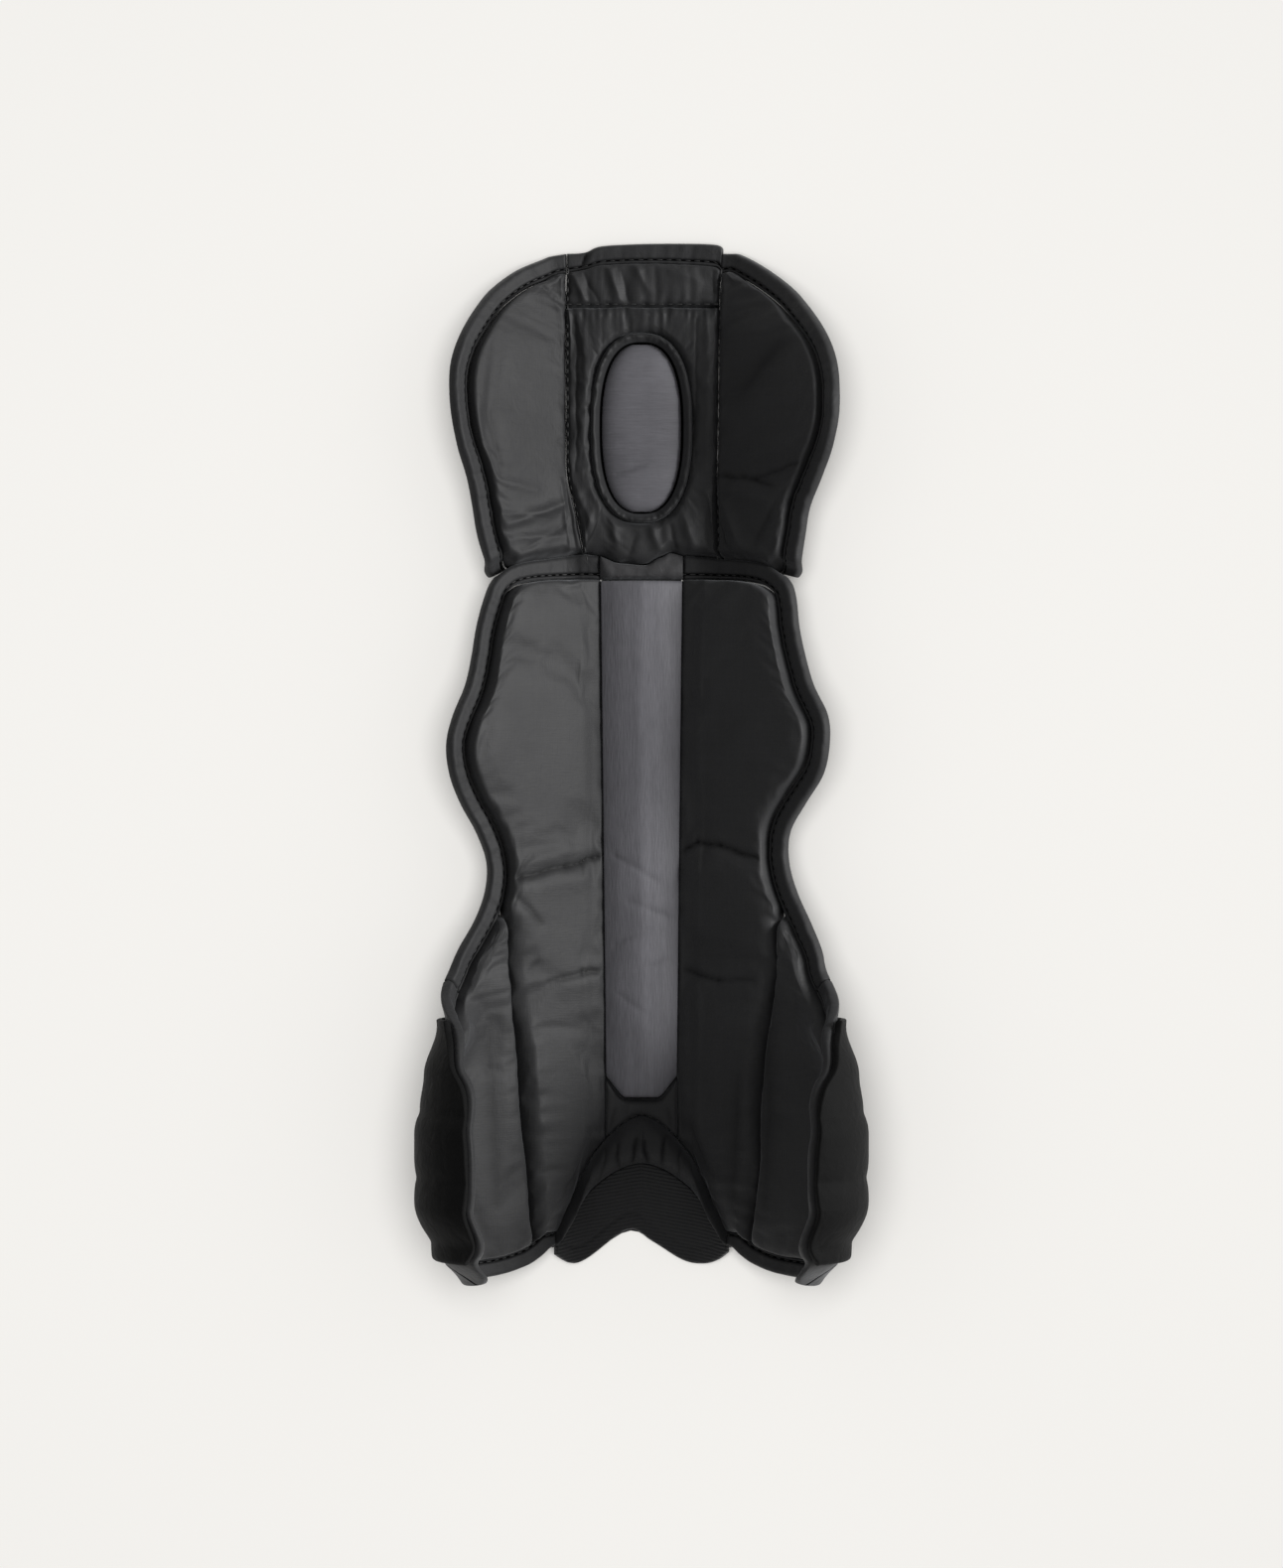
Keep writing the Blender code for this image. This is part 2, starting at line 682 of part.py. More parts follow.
def knee_side(side_name, side):
    """The knee's wing and its binding on one side. Returns the binding's end beside the top hem."""
    seam = knee_seam(side_name)
    outer = through(seen(KNEE_EDGE, side_name, KNEE_HALF, KNEE_LENGTH, SHIN_LENGTH))
    inner = moved_in(outer, BINDING_WIDTH)
    pairs = [pair for pair in zip(outer, inner) if pair[1][0] > seam[0][0] + CORNER_RUN]
    hem_corner = (seam[0][0], SHIN_LENGTH + HEM_CORNER * KNEE_LENGTH)
    outer = [hem_corner] + [pair[0] for pair in pairs]
    inner = [seam[0]] + [pair[1] for pair in pairs]
    binding(f"knee_binding_{side_name}", outer[:1] + outer[1::2], inner[:1] + inner[1::2], side)

    shin_top = through(seen(SHIN_EDGE, side_name, SHIN_HALF, SHIN_LENGTH))
    foot = [place for place in shin_top if seam[-1][0] + SEAM_GAP < place[0] < inner[-1][0] - CORNER_CLEARANCE]
    foot = [seam[-1]] + foot + [(inner[-1][0], inner[-1][1])]
    net = patch(inner[:2], foot, seam, inner[1:], shares(15), edged(KNEE_WING_WIDTH, 1))
    heights = stuffed(net, KNEE_THICKNESS, (SEAM_HEIGHT, SEAM_HEIGHT, SEAM_HEIGHT, GROOVE_HEIGHT))
    net = on_side(net, side)
    body(f"knee_wing_{side_name}", net, heights, level(net, 0.0), BLACK_FABRIC)
    return outer[0], inner[0]


def oval(angle, half_width, half_length):
    """A rounded oval's point in the cut at an angle from the right, about the window's centre."""
    c, s = math.cos(angle), math.sin(angle)
    across = math.copysign(abs(c) ** (2 / WINDOW_POWER), c) * half_width
    along = math.copysign(abs(s) ** (2 / WINDOW_POWER), s) * half_length
    return across, WINDOW_CENTRE + along


def knee_centre():
    """The middle of the knee: its top hem, top panel, panel round the window, trim and insert."""
    ends = {}
    for side_name, side in SIDES:
        ends[side_name] = [(side * across, along) for across, along in knee_side(side_name, side)]
    left_seam = [(-across, along) for across, along in knee_seam("left")]
    right_seam = knee_seam("right")

    def hem_line(table, index):
        points = [(share * KNEE_SEAM, SHIN_LENGTH + along * KNEE_LENGTH) for share, along in table]
        return even(through([ends["left"][index]] + points + [ends["right"][index]]), 20)

    hem_top, hem_foot = hem_line(HEM_TOP, 0), hem_line(HEM_FOOT, 1)
    net = strip(hem_top, hem_foot, (0.0, 0.22, 0.72, 1.0))
    top = [[BINDING_THICKNESS * share for share in (0.62, 1.0, 0.98, 0.74)] for _ in net]
    body("knee_top_hem", net, top, level(net, 0.0), BLACK_BINDING)

    def until(seam, upper):
        return [place for place in seam if place[1] > GATHER_ALONG + SEAM_GAP] if upper else [
            place for place in seam if place[1] < GATHER_ALONG - SEAM_GAP]

    left_x = min(left_seam, key=lambda place: abs(place[1] - GATHER_ALONG))[0]
    right_x = min(right_seam, key=lambda place: abs(place[1] - GATHER_ALONG))[0]
    gather = even([(left_x, GATHER_ALONG), (right_x, GATHER_ALONG)], 4 * GATHER_COUNT)
    net = patch(
        hem_foot, gather, until(left_seam, True) + [gather[0]], until(right_seam, True) + [gather[-1]],
        shares(4), shares(16),
    )
    seams = (SEAM_HEIGHT, SEAM_HEIGHT, SEAM_HEIGHT, SEAM_HEIGHT)
    heights = stuffed(net, KNEE_THICKNESS * 0.8, seams, KNEE_ROLLED_EDGE)
    body("knee_top_panel", net, heights, level(net, 0.0), BLACK_FABRIC)

    right_side = [gather[-1]] + until(right_seam, False)
    left_side = until(left_seam, False)[::-1] + [gather[0]]
    foot = even([right_side[-1], left_side[0]], 8)
    border = gather[::2] + even(right_side, 14)[1:] + foot[1:] + even(left_side, 14)[1:-1]
    net = []
    for place in border:
        angle = math.atan2((place[1] - WINDOW_CENTRE) / WINDOW_HALF_LENGTH, place[0] / WINDOW_HALF_WIDTH)
        opening = oval(angle, WINDOW_HALF_WIDTH, WINDOW_HALF_LENGTH)
        net.append([tuple(mix(o, i, share) for o, i in zip(place, opening))
                    for share in (0.0, 0.15, 0.45, 0.8, 1.0)])
    heights = []
    for row in net:
        heights.append([])
        for place in row:
            edge = rise(math.dist(place, row[0]), KNEE_ROLLED_EDGE)
            edge *= rise(math.dist(place, row[-1]) + SEAM_GAP, KNEE_ROLLED_EDGE)
            height = mix(SEAM_HEIGHT, KNEE_THICKNESS, edge)
            below = GATHER_ALONG - place[1]
            fold = math.cos(2 * math.pi * GATHER_COUNT * (place[0] - left_x) / (right_x - left_x))
            height += GATHER_DEPTH * fold * math.exp(-(below / GATHER_REACH) ** 2)
            heights[-1].append(height)
    body("knee_centre_panel", net, heights, level(net, 0.0), BLACK_FABRIC, wrap=True)

    angles = [2 * math.pi * step / 40 for step in range(40)]
    net = [[oval(angle, WINDOW_HALF_WIDTH - inset, WINDOW_HALF_LENGTH - inset)
            for inset in (0.0, 0.25 * TRIM_WIDTH, 0.75 * TRIM_WIDTH, TRIM_WIDTH)] for angle in angles]
    heights = [[TRIM_HEIGHT * share for share in (0.72, 1.0, 1.0, 0.72)] for _ in net]
    body("window_trim", net, heights, level(net, 0.0), BLACK_BINDING, wrap=True)

    half_width = WINDOW_HALF_WIDTH - TRIM_WIDTH
    half_length = WINDOW_HALF_LENGTH - TRIM_WIDTH
    net = []
    heights = []
    for turn in [math.sin(mix(-1.0, 1.0, step) * math.pi / 2) * 0.975 for step in shares(12)]:
        half = half_width * (1.0 - abs(turn) ** WINDOW_POWER) ** (1.0 / WINDOW_POWER)
        columns = (-1.0, -0.85, -0.5, 0.0, 0.5, 0.85, 1.0)
        net.append([(share * half, WINDOW_CENTRE + turn * half_length) for share in columns])
        heights.append([
            mix(INSERT_EDGE_HEIGHT, INSERT_DOME,
                math.sqrt(max(0.0, (1.0 - abs(share) ** 2.5) * (1.0 - abs(turn) ** 4))))
            for share in columns
        ])
    body("window_insert", net, heights, level(net, 0.0), GREY_FABRIC)


def wing_cover(side_name, side):
    """The outer panel on the back of the wing, with three cross seams pressed in."""
    rows = [mix(0.035, 0.365, step) * SHIN_LENGTH for step in shares(15)]
    wing = through(in_cut(WING_EDGE, side_name, WING_REACH, SHIN_LENGTH))
    net = []
    heights = []
    for along in rows:
        edge = next((mix(start[0], end[0], (start[1] - along) / (start[1] - end[1]))
                     for start, end in zip(wing, wing[1:]) if start[1] >= along > end[1]), wing[0][0])
        start = WING_REACH * fold_at(along, "curl_start")
        net.append([(mix(start, edge - COVER_INSET, share), along) for share in shares(8)])
        seam = max(math.exp(-((along / SHIN_LENGTH - place) / 0.008) ** 2)
                   for place in (0.062, 0.150, 0.238))
        heights.append([-COVER_GAP - COVER_THICKNESS * (1.0 - 0.35 * seam)] * 9)
    net = on_side(net, side)
    body(f"wing_cover_{side_name}", net, level(net, -COVER_GAP), heights, RIBBED_FABRIC)


def main():
    clear_scene()
    parts = bpy.data.collections.get("leg_guard") or bpy.data.collections.new("leg_guard")
    if parts.name not in bpy.context.scene.collection.children:
        bpy.context.scene.collection.children.link(parts)
    centre_pieces()
    knee_centre()
    for side_name, side in SIDES:
        shin_side(side_name, side)
        wing_cover(side_name, side)


main()
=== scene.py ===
"""The looks of a padded leg guard that lies on its front, hollow side up, as a Blender add-on.

Every padded piece is cut flat, folded into the guard's trough, filled and then detailed: seams,
puckers, creases, hems, stitches and woven cloth. A place in the cut is (across, along), where across
runs from the centre line round the fold, negative on the left, and along runs from the ankle tip to
the knee. Sizes are in millimetres until a mesh is made.
"""

import math
from collections import namedtuple

import bmesh
import bpy
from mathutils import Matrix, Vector, noise


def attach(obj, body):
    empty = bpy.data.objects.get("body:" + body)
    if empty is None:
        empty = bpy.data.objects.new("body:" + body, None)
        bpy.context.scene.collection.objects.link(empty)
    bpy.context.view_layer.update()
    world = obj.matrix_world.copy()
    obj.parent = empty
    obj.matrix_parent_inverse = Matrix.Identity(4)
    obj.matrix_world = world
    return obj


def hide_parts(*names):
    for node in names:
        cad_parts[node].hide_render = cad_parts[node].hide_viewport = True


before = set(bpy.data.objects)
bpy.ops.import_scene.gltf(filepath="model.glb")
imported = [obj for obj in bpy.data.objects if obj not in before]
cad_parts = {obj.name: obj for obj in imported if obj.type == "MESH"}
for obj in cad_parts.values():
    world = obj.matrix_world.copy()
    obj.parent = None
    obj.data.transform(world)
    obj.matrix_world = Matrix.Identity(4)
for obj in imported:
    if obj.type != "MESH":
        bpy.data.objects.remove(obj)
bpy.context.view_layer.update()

bl_info = {
    "name": "Padded Leg Guard",
    "version": (1, 0, 0),
    "blender": (4, 5, 0),
    "location": "View3D > Sidebar > Guard",
    "description": "Builds a padded leg guard with its seams, puckers, hems and stitches",
    "category": "Add Mesh",
}

MM = 0.001
SUFFIX = "_cloth"

# Lengths along the guard
SHIN_LENGTH = 287.0
KNEE_LENGTH = 127.0
TOTAL_LENGTH = SHIN_LENGTH + KNEE_LENGTH
MIDDLE = TOTAL_LENGTH / 2

# Half widths as seen from above, and the wing's reach round the fold
SHIN_HALF = 76.6
KNEE_HALF = 78.5
WING_REACH = 146.0

# The folded trough
FLAT_HALF = 20.0
BEND_RUN = 12.0
PAD_SLOPE = 35.0
CURL_RUN = 62.0
CURL_SLOPE = 155.0

# Thicknesses and seams
PAD_THICKNESS = 10.0
KNEE_THICKNESS = 8.0
WING_THICKNESS = 9.0
SPINE_THICKNESS = 9.5
BAND_THICKNESS = 6.0
YOKE_THICKNESS = 6.0
BINDING_THICKNESS = 4.6
COVER_THICKNESS = 2.4
FLAP_THICKNESS = 3.0
ROLL_THICKNESS = 13.0
SEAM_HEIGHT = 4.0
GROOVE_HEIGHT = 2.6
BINDING_WIDTH = 8.0
HEM_GRID = 1.3
SEAM_GAP = 0.3
STITCH_PITCH = 3.6
COVER_GAP = 0.9

# How far a seam's puckers, its rolled edge and its leaning underside reach into a piece
PUCKER_REACH = 24.0
PUCKER_FADE = 6.0
EDGE_RUN = 3.0
LEAN_RUN = 2.3

# The centre strip, the arch and the knee
SPINE_TOP_HALF = 17.0
SPINE_END_HALF = 14.6
SPINE_START = 0.275 * SHIN_LENGTH
SPINE_CHAMFER = 9.0
SPINE_CHAMFER_HALF = 7.5
SPINE_EDGE_HEIGHT = 5.0
ARCH_HALF = 38.0
ARCH_FOOT = 17.0
ARCH_TOP = 0.221 * SHIN_LENGTH
ARCH_POWER = 1.6
LOWER_ARCH_HALF = 38.0
LOWER_ARCH_FOOT = 11.0
LOWER_ARCH_TOP = 0.153 * SHIN_LENGTH
LOWER_ARCH_POWER = 1.8
LOBE_HALF = 37.0
KNEE_SEAM = 31.0
GATHER_ALONG = SHIN_LENGTH + 0.795 * KNEE_LENGTH
GATHER_REACH = 22.0
WINDOW_CENTRE = SHIN_LENGTH + 0.413 * KNEE_LENGTH
WINDOW_HALF_WIDTH = 20.6
WINDOW_HALF_LENGTH = 0.301 * KNEE_LENGTH
WINDOW_POWER = 2.5
TRIM_WIDTH = 4.2
TRIM_HEIGHT = 8.0
TRIM_STEPS = 190
INSERT_EDGE_HEIGHT = 4.0
INSERT_DOME = 8.2

# Places on a smooth line from one chosen point to the next
LINE_STEPS = 5

SIDES = (("left", -1.0), ("right", 1.0))

# Sections of the fold: where, as a share of the whole length, with the flat's half width and the pad's
# slope as shares, where round the fold the curl starts as a share of the wing's reach, and the
# curl's run and final slope as shares.
Fold = namedtuple("Fold", "station flat pad curl_start curl_run edge_slope")
FOLDS = [
    Fold(0.000, 1.00, 0.94, 0.46, 0.60, 0.82),
    Fold(0.030, 1.00, 0.94, 0.505, 0.82, 0.90),
    Fold(0.080, 1.00, 0.94, 0.55, 1.00, 1.00),
    Fold(0.145, 1.00, 0.94, 0.55, 1.00, 1.00),
    Fold(0.200, 1.00, 0.95, 0.53, 0.84, 0.92),
    Fold(0.245, 1.00, 0.96, 0.495, 0.60, 0.74),
    Fold(0.290, 1.00, 1.00, 0.50, 0.50, 0.48),
    Fold(0.345, 1.00, 1.04, 0.48, 0.50, 0.34),
    Fold(0.420, 1.00, 1.00, 0.48, 0.50, 0.30),
    Fold(0.515, 1.00, 1.06, 0.50, 0.50, 0.34),
    Fold(0.640, 1.05, 1.00, 0.45, 0.50, 0.32),
    Fold(0.720, 1.30, 1.10, 0.45, 0.50, 0.34),
    Fold(0.800, 1.45, 1.20, 0.48, 0.50, 0.38),
    Fold(0.900, 1.45, 1.10, 0.45, 0.50, 0.34),
    Fold(1.000, 1.45, 0.80, 0.45, 0.50, 0.24),
]

# Free edges: along as a share of the shin's or the knee's length, and the half widths on the left and
# the right as shares, of the shin's or the knee's half width, or of the wing's reach in the cut.
Edge = namedtuple("Edge", "along left right")
SHIN_EDGE = [
    Edge(1.000, 0.235, 0.235), Edge(0.999, 0.450, 0.440), Edge(0.995, 0.610, 0.600),
    Edge(0.986, 0.715, 0.700), Edge(0.966, 0.790, 0.785), Edge(0.943, 0.826, 0.813),
    Edge(0.902, 0.866, 0.829), Edge(0.861, 0.890, 0.860), Edge(0.820, 0.923, 0.903),
    Edge(0.779, 0.983, 0.972), Edge(0.739, 1.016, 0.980), Edge(0.698, 1.000, 0.950),
    Edge(0.657, 0.945, 0.860), Edge(0.617, 0.866, 0.782), Edge(0.576, 0.814, 0.777),
    Edge(0.535, 0.823, 0.818), Edge(0.495, 0.878, 0.884), Edge(0.456, 0.960, 0.943),
    Edge(0.417, 1.022, 0.983),
]
KNEE_EDGE = [
    Edge(0.985, 0.380, 0.440), Edge(0.950, 0.510, 0.560), Edge(0.909, 0.645, 0.660),
    Edge(0.854, 0.757, 0.766), Edge(0.803, 0.826, 0.836), Edge(0.704, 0.916, 0.935),
    Edge(0.610, 0.968, 0.990), Edge(0.518, 0.977, 1.005), Edge(0.425, 0.965, 1.000),
    Edge(0.333, 0.936, 0.971), Edge(0.242, 0.892, 0.920), Edge(0.150, 0.864, 0.862),
    Edge(0.059, 0.840, 0.838), Edge(-0.020, 0.800, 0.818),
]
WING_EDGE = [
    Edge(0.350, 0.775, 0.755), Edge(0.290, 0.905, 0.890), Edge(0.230, 0.985, 0.980),
    Edge(0.160, 1.000, 1.000), Edge(0.100, 0.985, 0.985), Edge(0.045, 0.900, 0.900),
    Edge(0.012, 0.800, 0.800),
]
BOTTOM_EDGE = [
    Edge(0.000, 0.700, 0.700), Edge(0.000, 0.560, 0.560), Edge(0.004, 0.430, 0.430),
    Edge(0.018, 0.330, 0.330), Edge(0.040, 0.268, 0.268),
]
GROOVE = [
    Edge(0.420, 0.425, 0.435), Edge(0.330, 0.400, 0.400), Edge(0.240, 0.382, 0.378),
    Edge(0.150, 0.362, 0.368),
]
GROOVE_END = 0.345

# The row of SHIN_EDGE where the shin's top ends and its side starts
SHOULDER = 5

KNEE_SEAMS = [
    Edge(0.905, 0.985, 1.050), Edge(0.795, 1.000, 1.040), Edge(0.420, 1.000, 1.020),
    Edge(0.260, 0.990, 1.010), Edge(0.160, 0.880, 1.060), Edge(0.001, 0.740, 1.100),
]

# The two lines of the knee's top hem, as shares of the knee's seam and length, and the free edge of the
# instep flap, as shares of the lobes' half width and of the arch's foot.
Place = namedtuple("Place", "across along")
HEM_TOP = [Place(-0.72, 0.972), Place(-0.52, 0.992), Place(0.20, 1.000), Place(1.00, 0.996)]
HEM_FOOT = [Place(-0.70, 0.918), Place(-0.50, 0.930), Place(0.20, 0.935), Place(0.95, 0.925)]
HEM_CORNER = 0.968
LOBES = [
    Place(-1.00, 0.46), Place(-0.80, 0.22), Place(-0.58, 0.34), Place(-0.15, 1.00),
    Place(0.12, 0.72), Place(0.45, 0.28), Place(0.68, 0.20), Place(0.86, 0.30), Place(1.00, 0.52),
]

# How far the shin's top hem waves out towards the knee, from left to right
Wave = namedtuple("Wave", "across out")
TOP_WAVE = [
    Wave(-60.0, 0.0), Wave(-46.0, 0.3), Wave(-34.0, 1.2), Wave(-23.0, 2.3), Wave(-18.0, 1.5),
    Wave(-8.4, -1.7), Wave(1.6, -2.5), Wave(7.6, 0.7), Wave(11.6, 2.7), Wave(17.0, 1.5),
    Wave(22.0, 1.2), Wave(36.0, 0.3), Wave(60.0, 0.0),
]

# The ends and the cross seams of the wing covers, as shares of the shin's length
COVER_ENDS = (0.035, 0.365)
COVER_SEAMS = (0.062, 0.150, 0.238)

# The columns of a hem's strip, from its free edge to its sewn one, with the heights of its two faces as
# shares of its thickness. It is sewn down along its seam columns, and its stitches lie at a share of
# the way across and of its thickness.
HEM_COLUMNS = (0.0, 0.04, 0.10, 0.20, 0.34, 0.50, 0.64, 0.74, 0.79, 0.83, 0.88, 0.94, 1.0)
HEM_TOP_SHARES = (0.42, 0.76, 0.94, 1.0, 0.98, 0.95, 0.96, 0.93, 0.66, 0.60, 0.82, 0.86, 0.80)
HEM_LOW_SHARES = (0.26, 0.10, 0.02, 0.0, 0.0, 0.0, 0.0, 0.0, 0.0, 0.0, 0.0, 0.0, 0.0)
# These seam columns are also painted in shade
HEM_SEAM_COLUMNS = (8, 9)
HEM_LEANS = (0, 1.0, -0.8, 0.8)
STITCH_SHARE = 0.81
STITCH_HEIGHT = 0.68

# How far the knee's hems go on below the shin's corner, and how deep their ends lie under it
TUCK = 6.0
TUCK_DROP = 5.8

# Creases, folds and dimples of each piece, as seen from above. A row runs from one place to another,
# in millimetres from the centre line and along from the ankle tip. Its height is how far it stands
# up, or down where it is negative, and its width is across the fold.
Crease = namedtuple("Crease", "x0 along0 x1 along1 width height")
CREASES = {
    "shin_pad_left": [
        Crease(-15, 168.0, -36, 163.5, 1.05, -2.36), Crease(-36, 163.5, -57, 159.0, 1.05, -1.98),
        Crease(-16, 172.0, -50, 167.0, 4.0, 0.9), Crease(-16, 161.0, -50, 155.0, 5.0, 0.8),
        Crease(-50, 168.0, -58, 156.0, 0.93, -0.99), Crease(-56, 153.0, -46, 141.0, 1.05, -0.87),
        Crease(-15, 122.0, -29, 121.0, 0.93, -1.61), Crease(-29, 121.0, -43, 117.5, 0.87, -1.24),
        Crease(-16, 117.5, -36, 116.0, 4.0, 0.7), Crease(-47, 126.0, -50, 122.0, 0.87, -0.56),
        Crease(-49, 100.0, -46, 60.0, 2.4, 0.7), Crease(-38, 30.0, -30, 44.0, 1.05, -0.5),
    ],
    "shin_pad_right": [
        Crease(15, 168.5, 25, 173.0, 1.05, -1.61), Crease(25, 173.0, 37, 172.0, 1.05, -1.49),
        Crease(37, 172.0, 54, 166.0, 1.05, -1.49), Crease(16, 162.0, 48, 161.0, 5.0, 0.9),
        Crease(16, 122.0, 36, 118.0, 1.05, -1.24), Crease(36, 118.0, 50, 118.5, 0.99, -0.87),
        Crease(20, 60.0, 34, 40.0, 2.4, -0.8), Crease(44, 80.0, 41, 30.0, 3.0, -0.8),
    ],
    "ankle_wing_left": [
        Crease(-57, 140.0, -72, 116.0, 2.2, 0.8), Crease(-60, 118.0, -58, 60.0, 4.0, 0.6),
        Crease(-66, 100.0, -62, 30.0, 2.5, -0.7),
    ],
    "ankle_wing_right": [
        Crease(57, 140.0, 70, 116.0, 2.2, 0.7), Crease(56, 110.0, 54, 30.0, 3.5, -0.8),
    ],
    "knee_centre_panel": [
        Crease(-12, 302.0, -10, 292.0, 1.9, 1.3), Crease(3, 305.0, 7, 290.0, 2.0, 1.5),
        Crease(17, 304.0, 21, 291.0, 2.0, 1.4), Crease(-2, 297.0, -5, 288.0, 0.99, -0.62),
        Crease(12, 300.0, 14, 289.0, 0.93, -0.68), Crease(-20, 306.0, -24, 292.0, 2.0, 1.1),
        Crease(26, 314.0, 33, 298.0, 2.0, 1.4), Crease(-28, 318.0, -21, 302.0, 2.0, 1.1),
        Crease(27, 385.0, 26, 322.0, 2.8, 1.4), Crease(22, 383.0, 21.5, 325.0, 0.74, -0.56),
        Crease(-26.5, 384.0, -26.5, 322.0, 1.05, -0.81), Crease(-23, 380.0, -23, 330.0, 2.0, 0.6),
    ],
    "knee_top_panel": [
        Crease(-13, 403.0, -9, 391.0, 1.6, 1.1), Crease(-2, 404.0, 2, 395.0, 1.6, 0.9),
        Crease(-8, 402.0, -5, 390.0, 0.87, -0.5), Crease(-28, 402.0, -22, 389.0, 1.5, 1.1),
        Crease(-25, 404.0, -17, 390.0, 0.87, -0.68), Crease(10, 403.0, 24, 398.0, 2.2, 0.7),
        Crease(29, 402.0, 29, 390.0, 0.99, -0.56),
    ],
    "knee_wing_left": [
        Crease(-45, 397.0, -40, 391.0, 0.93, -0.74), Crease(-40, 391.0, -32, 388.5, 0.93, -0.81),
        Crease(-42, 393.0, -33, 385.0, 3.0, 0.8), Crease(-58, 300.0, -35, 309.0, 2.0, 1.5),
        Crease(-57, 294.0, -36, 296.0, 2.2, 1.3), Crease(-60, 304.0, -44, 303.0, 0.87, -0.68),
        Crease(-52, 290.0, -32, 302.0, 0.93, -0.74), Crease(-34, 318.0, -26, 290.0, 0.99, -0.74),
        Crease(-38, 318.0, -31, 290.0, 2.2, 1.0), Crease(-66, 318.0, -48, 314.0, 2.2, 0.7),
        Crease(-66, 345.0, -60, 318.0, 1.05, -0.43),
    ],
    "knee_wing_right": [
        Crease(34, 320.0, 46, 319.0, 1.05, -1.12), Crease(46, 319.0, 57, 315.0, 1.05, -1.05),
        Crease(35, 315.0, 55, 309.0, 3.2, 1.2), Crease(37, 311.0, 45, 313.0, 0.93, -0.74),
        Crease(50, 318.0, 69, 324.0, 1.05, -0.93), Crease(47, 325.0, 66, 330.0, 3.6, 0.9),
        Crease(38, 309.0, 44, 292.0, 2.2, 1.2), Crease(58, 308.0, 50, 292.0, 1.05, -0.62),
        Crease(36, 302.0, 40, 290.0, 0.87, -0.74), Crease(60, 372.0, 45, 352.0, 3.2, -0.7),
    ],
    "shin_spine": [
        Crease(-11, 168.0, 6, 158.0, 1.3, -0.45), Crease(-6, 150.0, 11, 143.0, 1.3, -0.4),
        Crease(-11, 132.0, 3, 138.0, 1.3, -0.4), Crease(-2, 122.0, 10, 126.0, 1.2, -0.35),
        Crease(-9, 112.0, 2, 104.0, 1.4, -0.35), Crease(-1.0, 276.0, 0.5, 84.0, 3.4, 0.45),
    ],
    "window_insert": [
        Crease(-10, 321.0, 1, 323.5, 1.05, -0.56), Crease(-3, 318.0, 7, 320.0, 2.4, 0.4),
    ],
    "arch_roll": [
        Crease(-2.6, 54.5, -3.6, 43.5, 0.62, -1.49), Crease(1.0, 54.0, 2.6, 43.0, 0.62, -1.61),
        Crease(9.6, 54.5, 7.6, 44.5, 0.68, -1.36), Crease(-9.8, 52.0, -9.0, 42.5, 0.68, -1.12),
        Crease(-14.5, 50.0, -16.5, 37.0, 0.62, -0.68), Crease(15.5, 50.0, 14.0, 39.0, 0.62, -0.68),
        Crease(-0.2, 58.0, -0.4, 45.0, 0.9, 0.8), Crease(-26.0, 36.0, -29.5, 28.0, 0.74, -0.37),
    ],
    "knee_top_hem": [
        Crease(-19.5, 415.5, -24.5, 404.5, 1.1, -1.6), Crease(-17.0, 415.0, -22.0, 405.0, 2.0, 0.7),
    ],
    "arch_yoke": [
        Crease(-13, 58.0, -11, 66.0, 0.87, -0.62), Crease(12, 58.0, 11, 66.0, 0.87, -0.62),
        Crease(-4, 62.5, -5, 68.0, 1.6, 0.7),
    ],
}


# Sizes and colours that the panel shows


def tint(name, linear):
    """A property that holds a colour in linear values."""
    return bpy.props.FloatVectorProperty(
        name=name, description=f"Colour of the part named {name.lower()}", default=linear, size=3,
        min=0.0, max=1.0, subtype="COLOR")


class GuardColours(bpy.types.PropertyGroup):
    pads: tint("Shin pads and wings", (0.032, 0.032, 0.033))
    knee: tint("Knee and instep roll", (0.023, 0.023, 0.024))
    hems: tint("Hems", (0.024, 0.024, 0.025))
    # Partly the covers' own black, partly painted shade: much darker than the pads to stand for the shade
    # on the wings' outer faces
    covers: tint("Wing covers", (0.005, 0.005, 0.005))
    flap: tint("Instep flap", (0.036, 0.036, 0.037))
    strip: tint("Centre strip and window", (0.162, 0.159, 0.175))
    band: tint("Band over the strip", (0.052, 0.051, 0.053))
    thread: tint("Stitches", (0.020, 0.020, 0.020))
    floor: tint("Floor", (0.895, 0.880, 0.850))


class GuardCloth(bpy.types.PropertyGroup):
    pressure: bpy.props.FloatProperty(
        name="Pressure", description="How hard the filling pushes the cover out", default=3.5, min=0.0)
    frames: bpy.props.IntProperty(
        name="Frames", description="Frames that the cover takes to settle", default=14, min=1)
    limit: bpy.props.FloatProperty(
        name="Limit", description="Farthest that a point of the cover may move", default=0.0007,
        min=0.0, subtype="DISTANCE", unit="LENGTH")
    slack: bpy.props.FloatProperty(
        name="Slack", description="How much larger the cover is cut than its place", default=0.012)
    grid: bpy.props.FloatProperty(
        name="Grid", description="Spacing of the cover's points", default=0.0019, min=0.0005,
        subtype="DISTANCE", unit="LENGTH")


class GuardStitch(bpy.types.PropertyGroup):
    pitch: bpy.props.FloatProperty(
        name="Pitch", description="Distance from one stitch to the next", default=STITCH_PITCH * MM,
        min=0.001, subtype="DISTANCE", unit="LENGTH")
    length: bpy.props.FloatProperty(
        name="Length", description="Length of one stitch", default=0.0025, min=0.0005,
        subtype="DISTANCE", unit="LENGTH")
    thickness: bpy.props.FloatProperty(
        name="Thickness", description="Thickness of the thread", default=0.00055, min=0.0001,
        subtype="DISTANCE", unit="LENGTH")
    seed: bpy.props.IntProperty(
        name="Seed", description="Seed of the stitches' small differences", default=7)


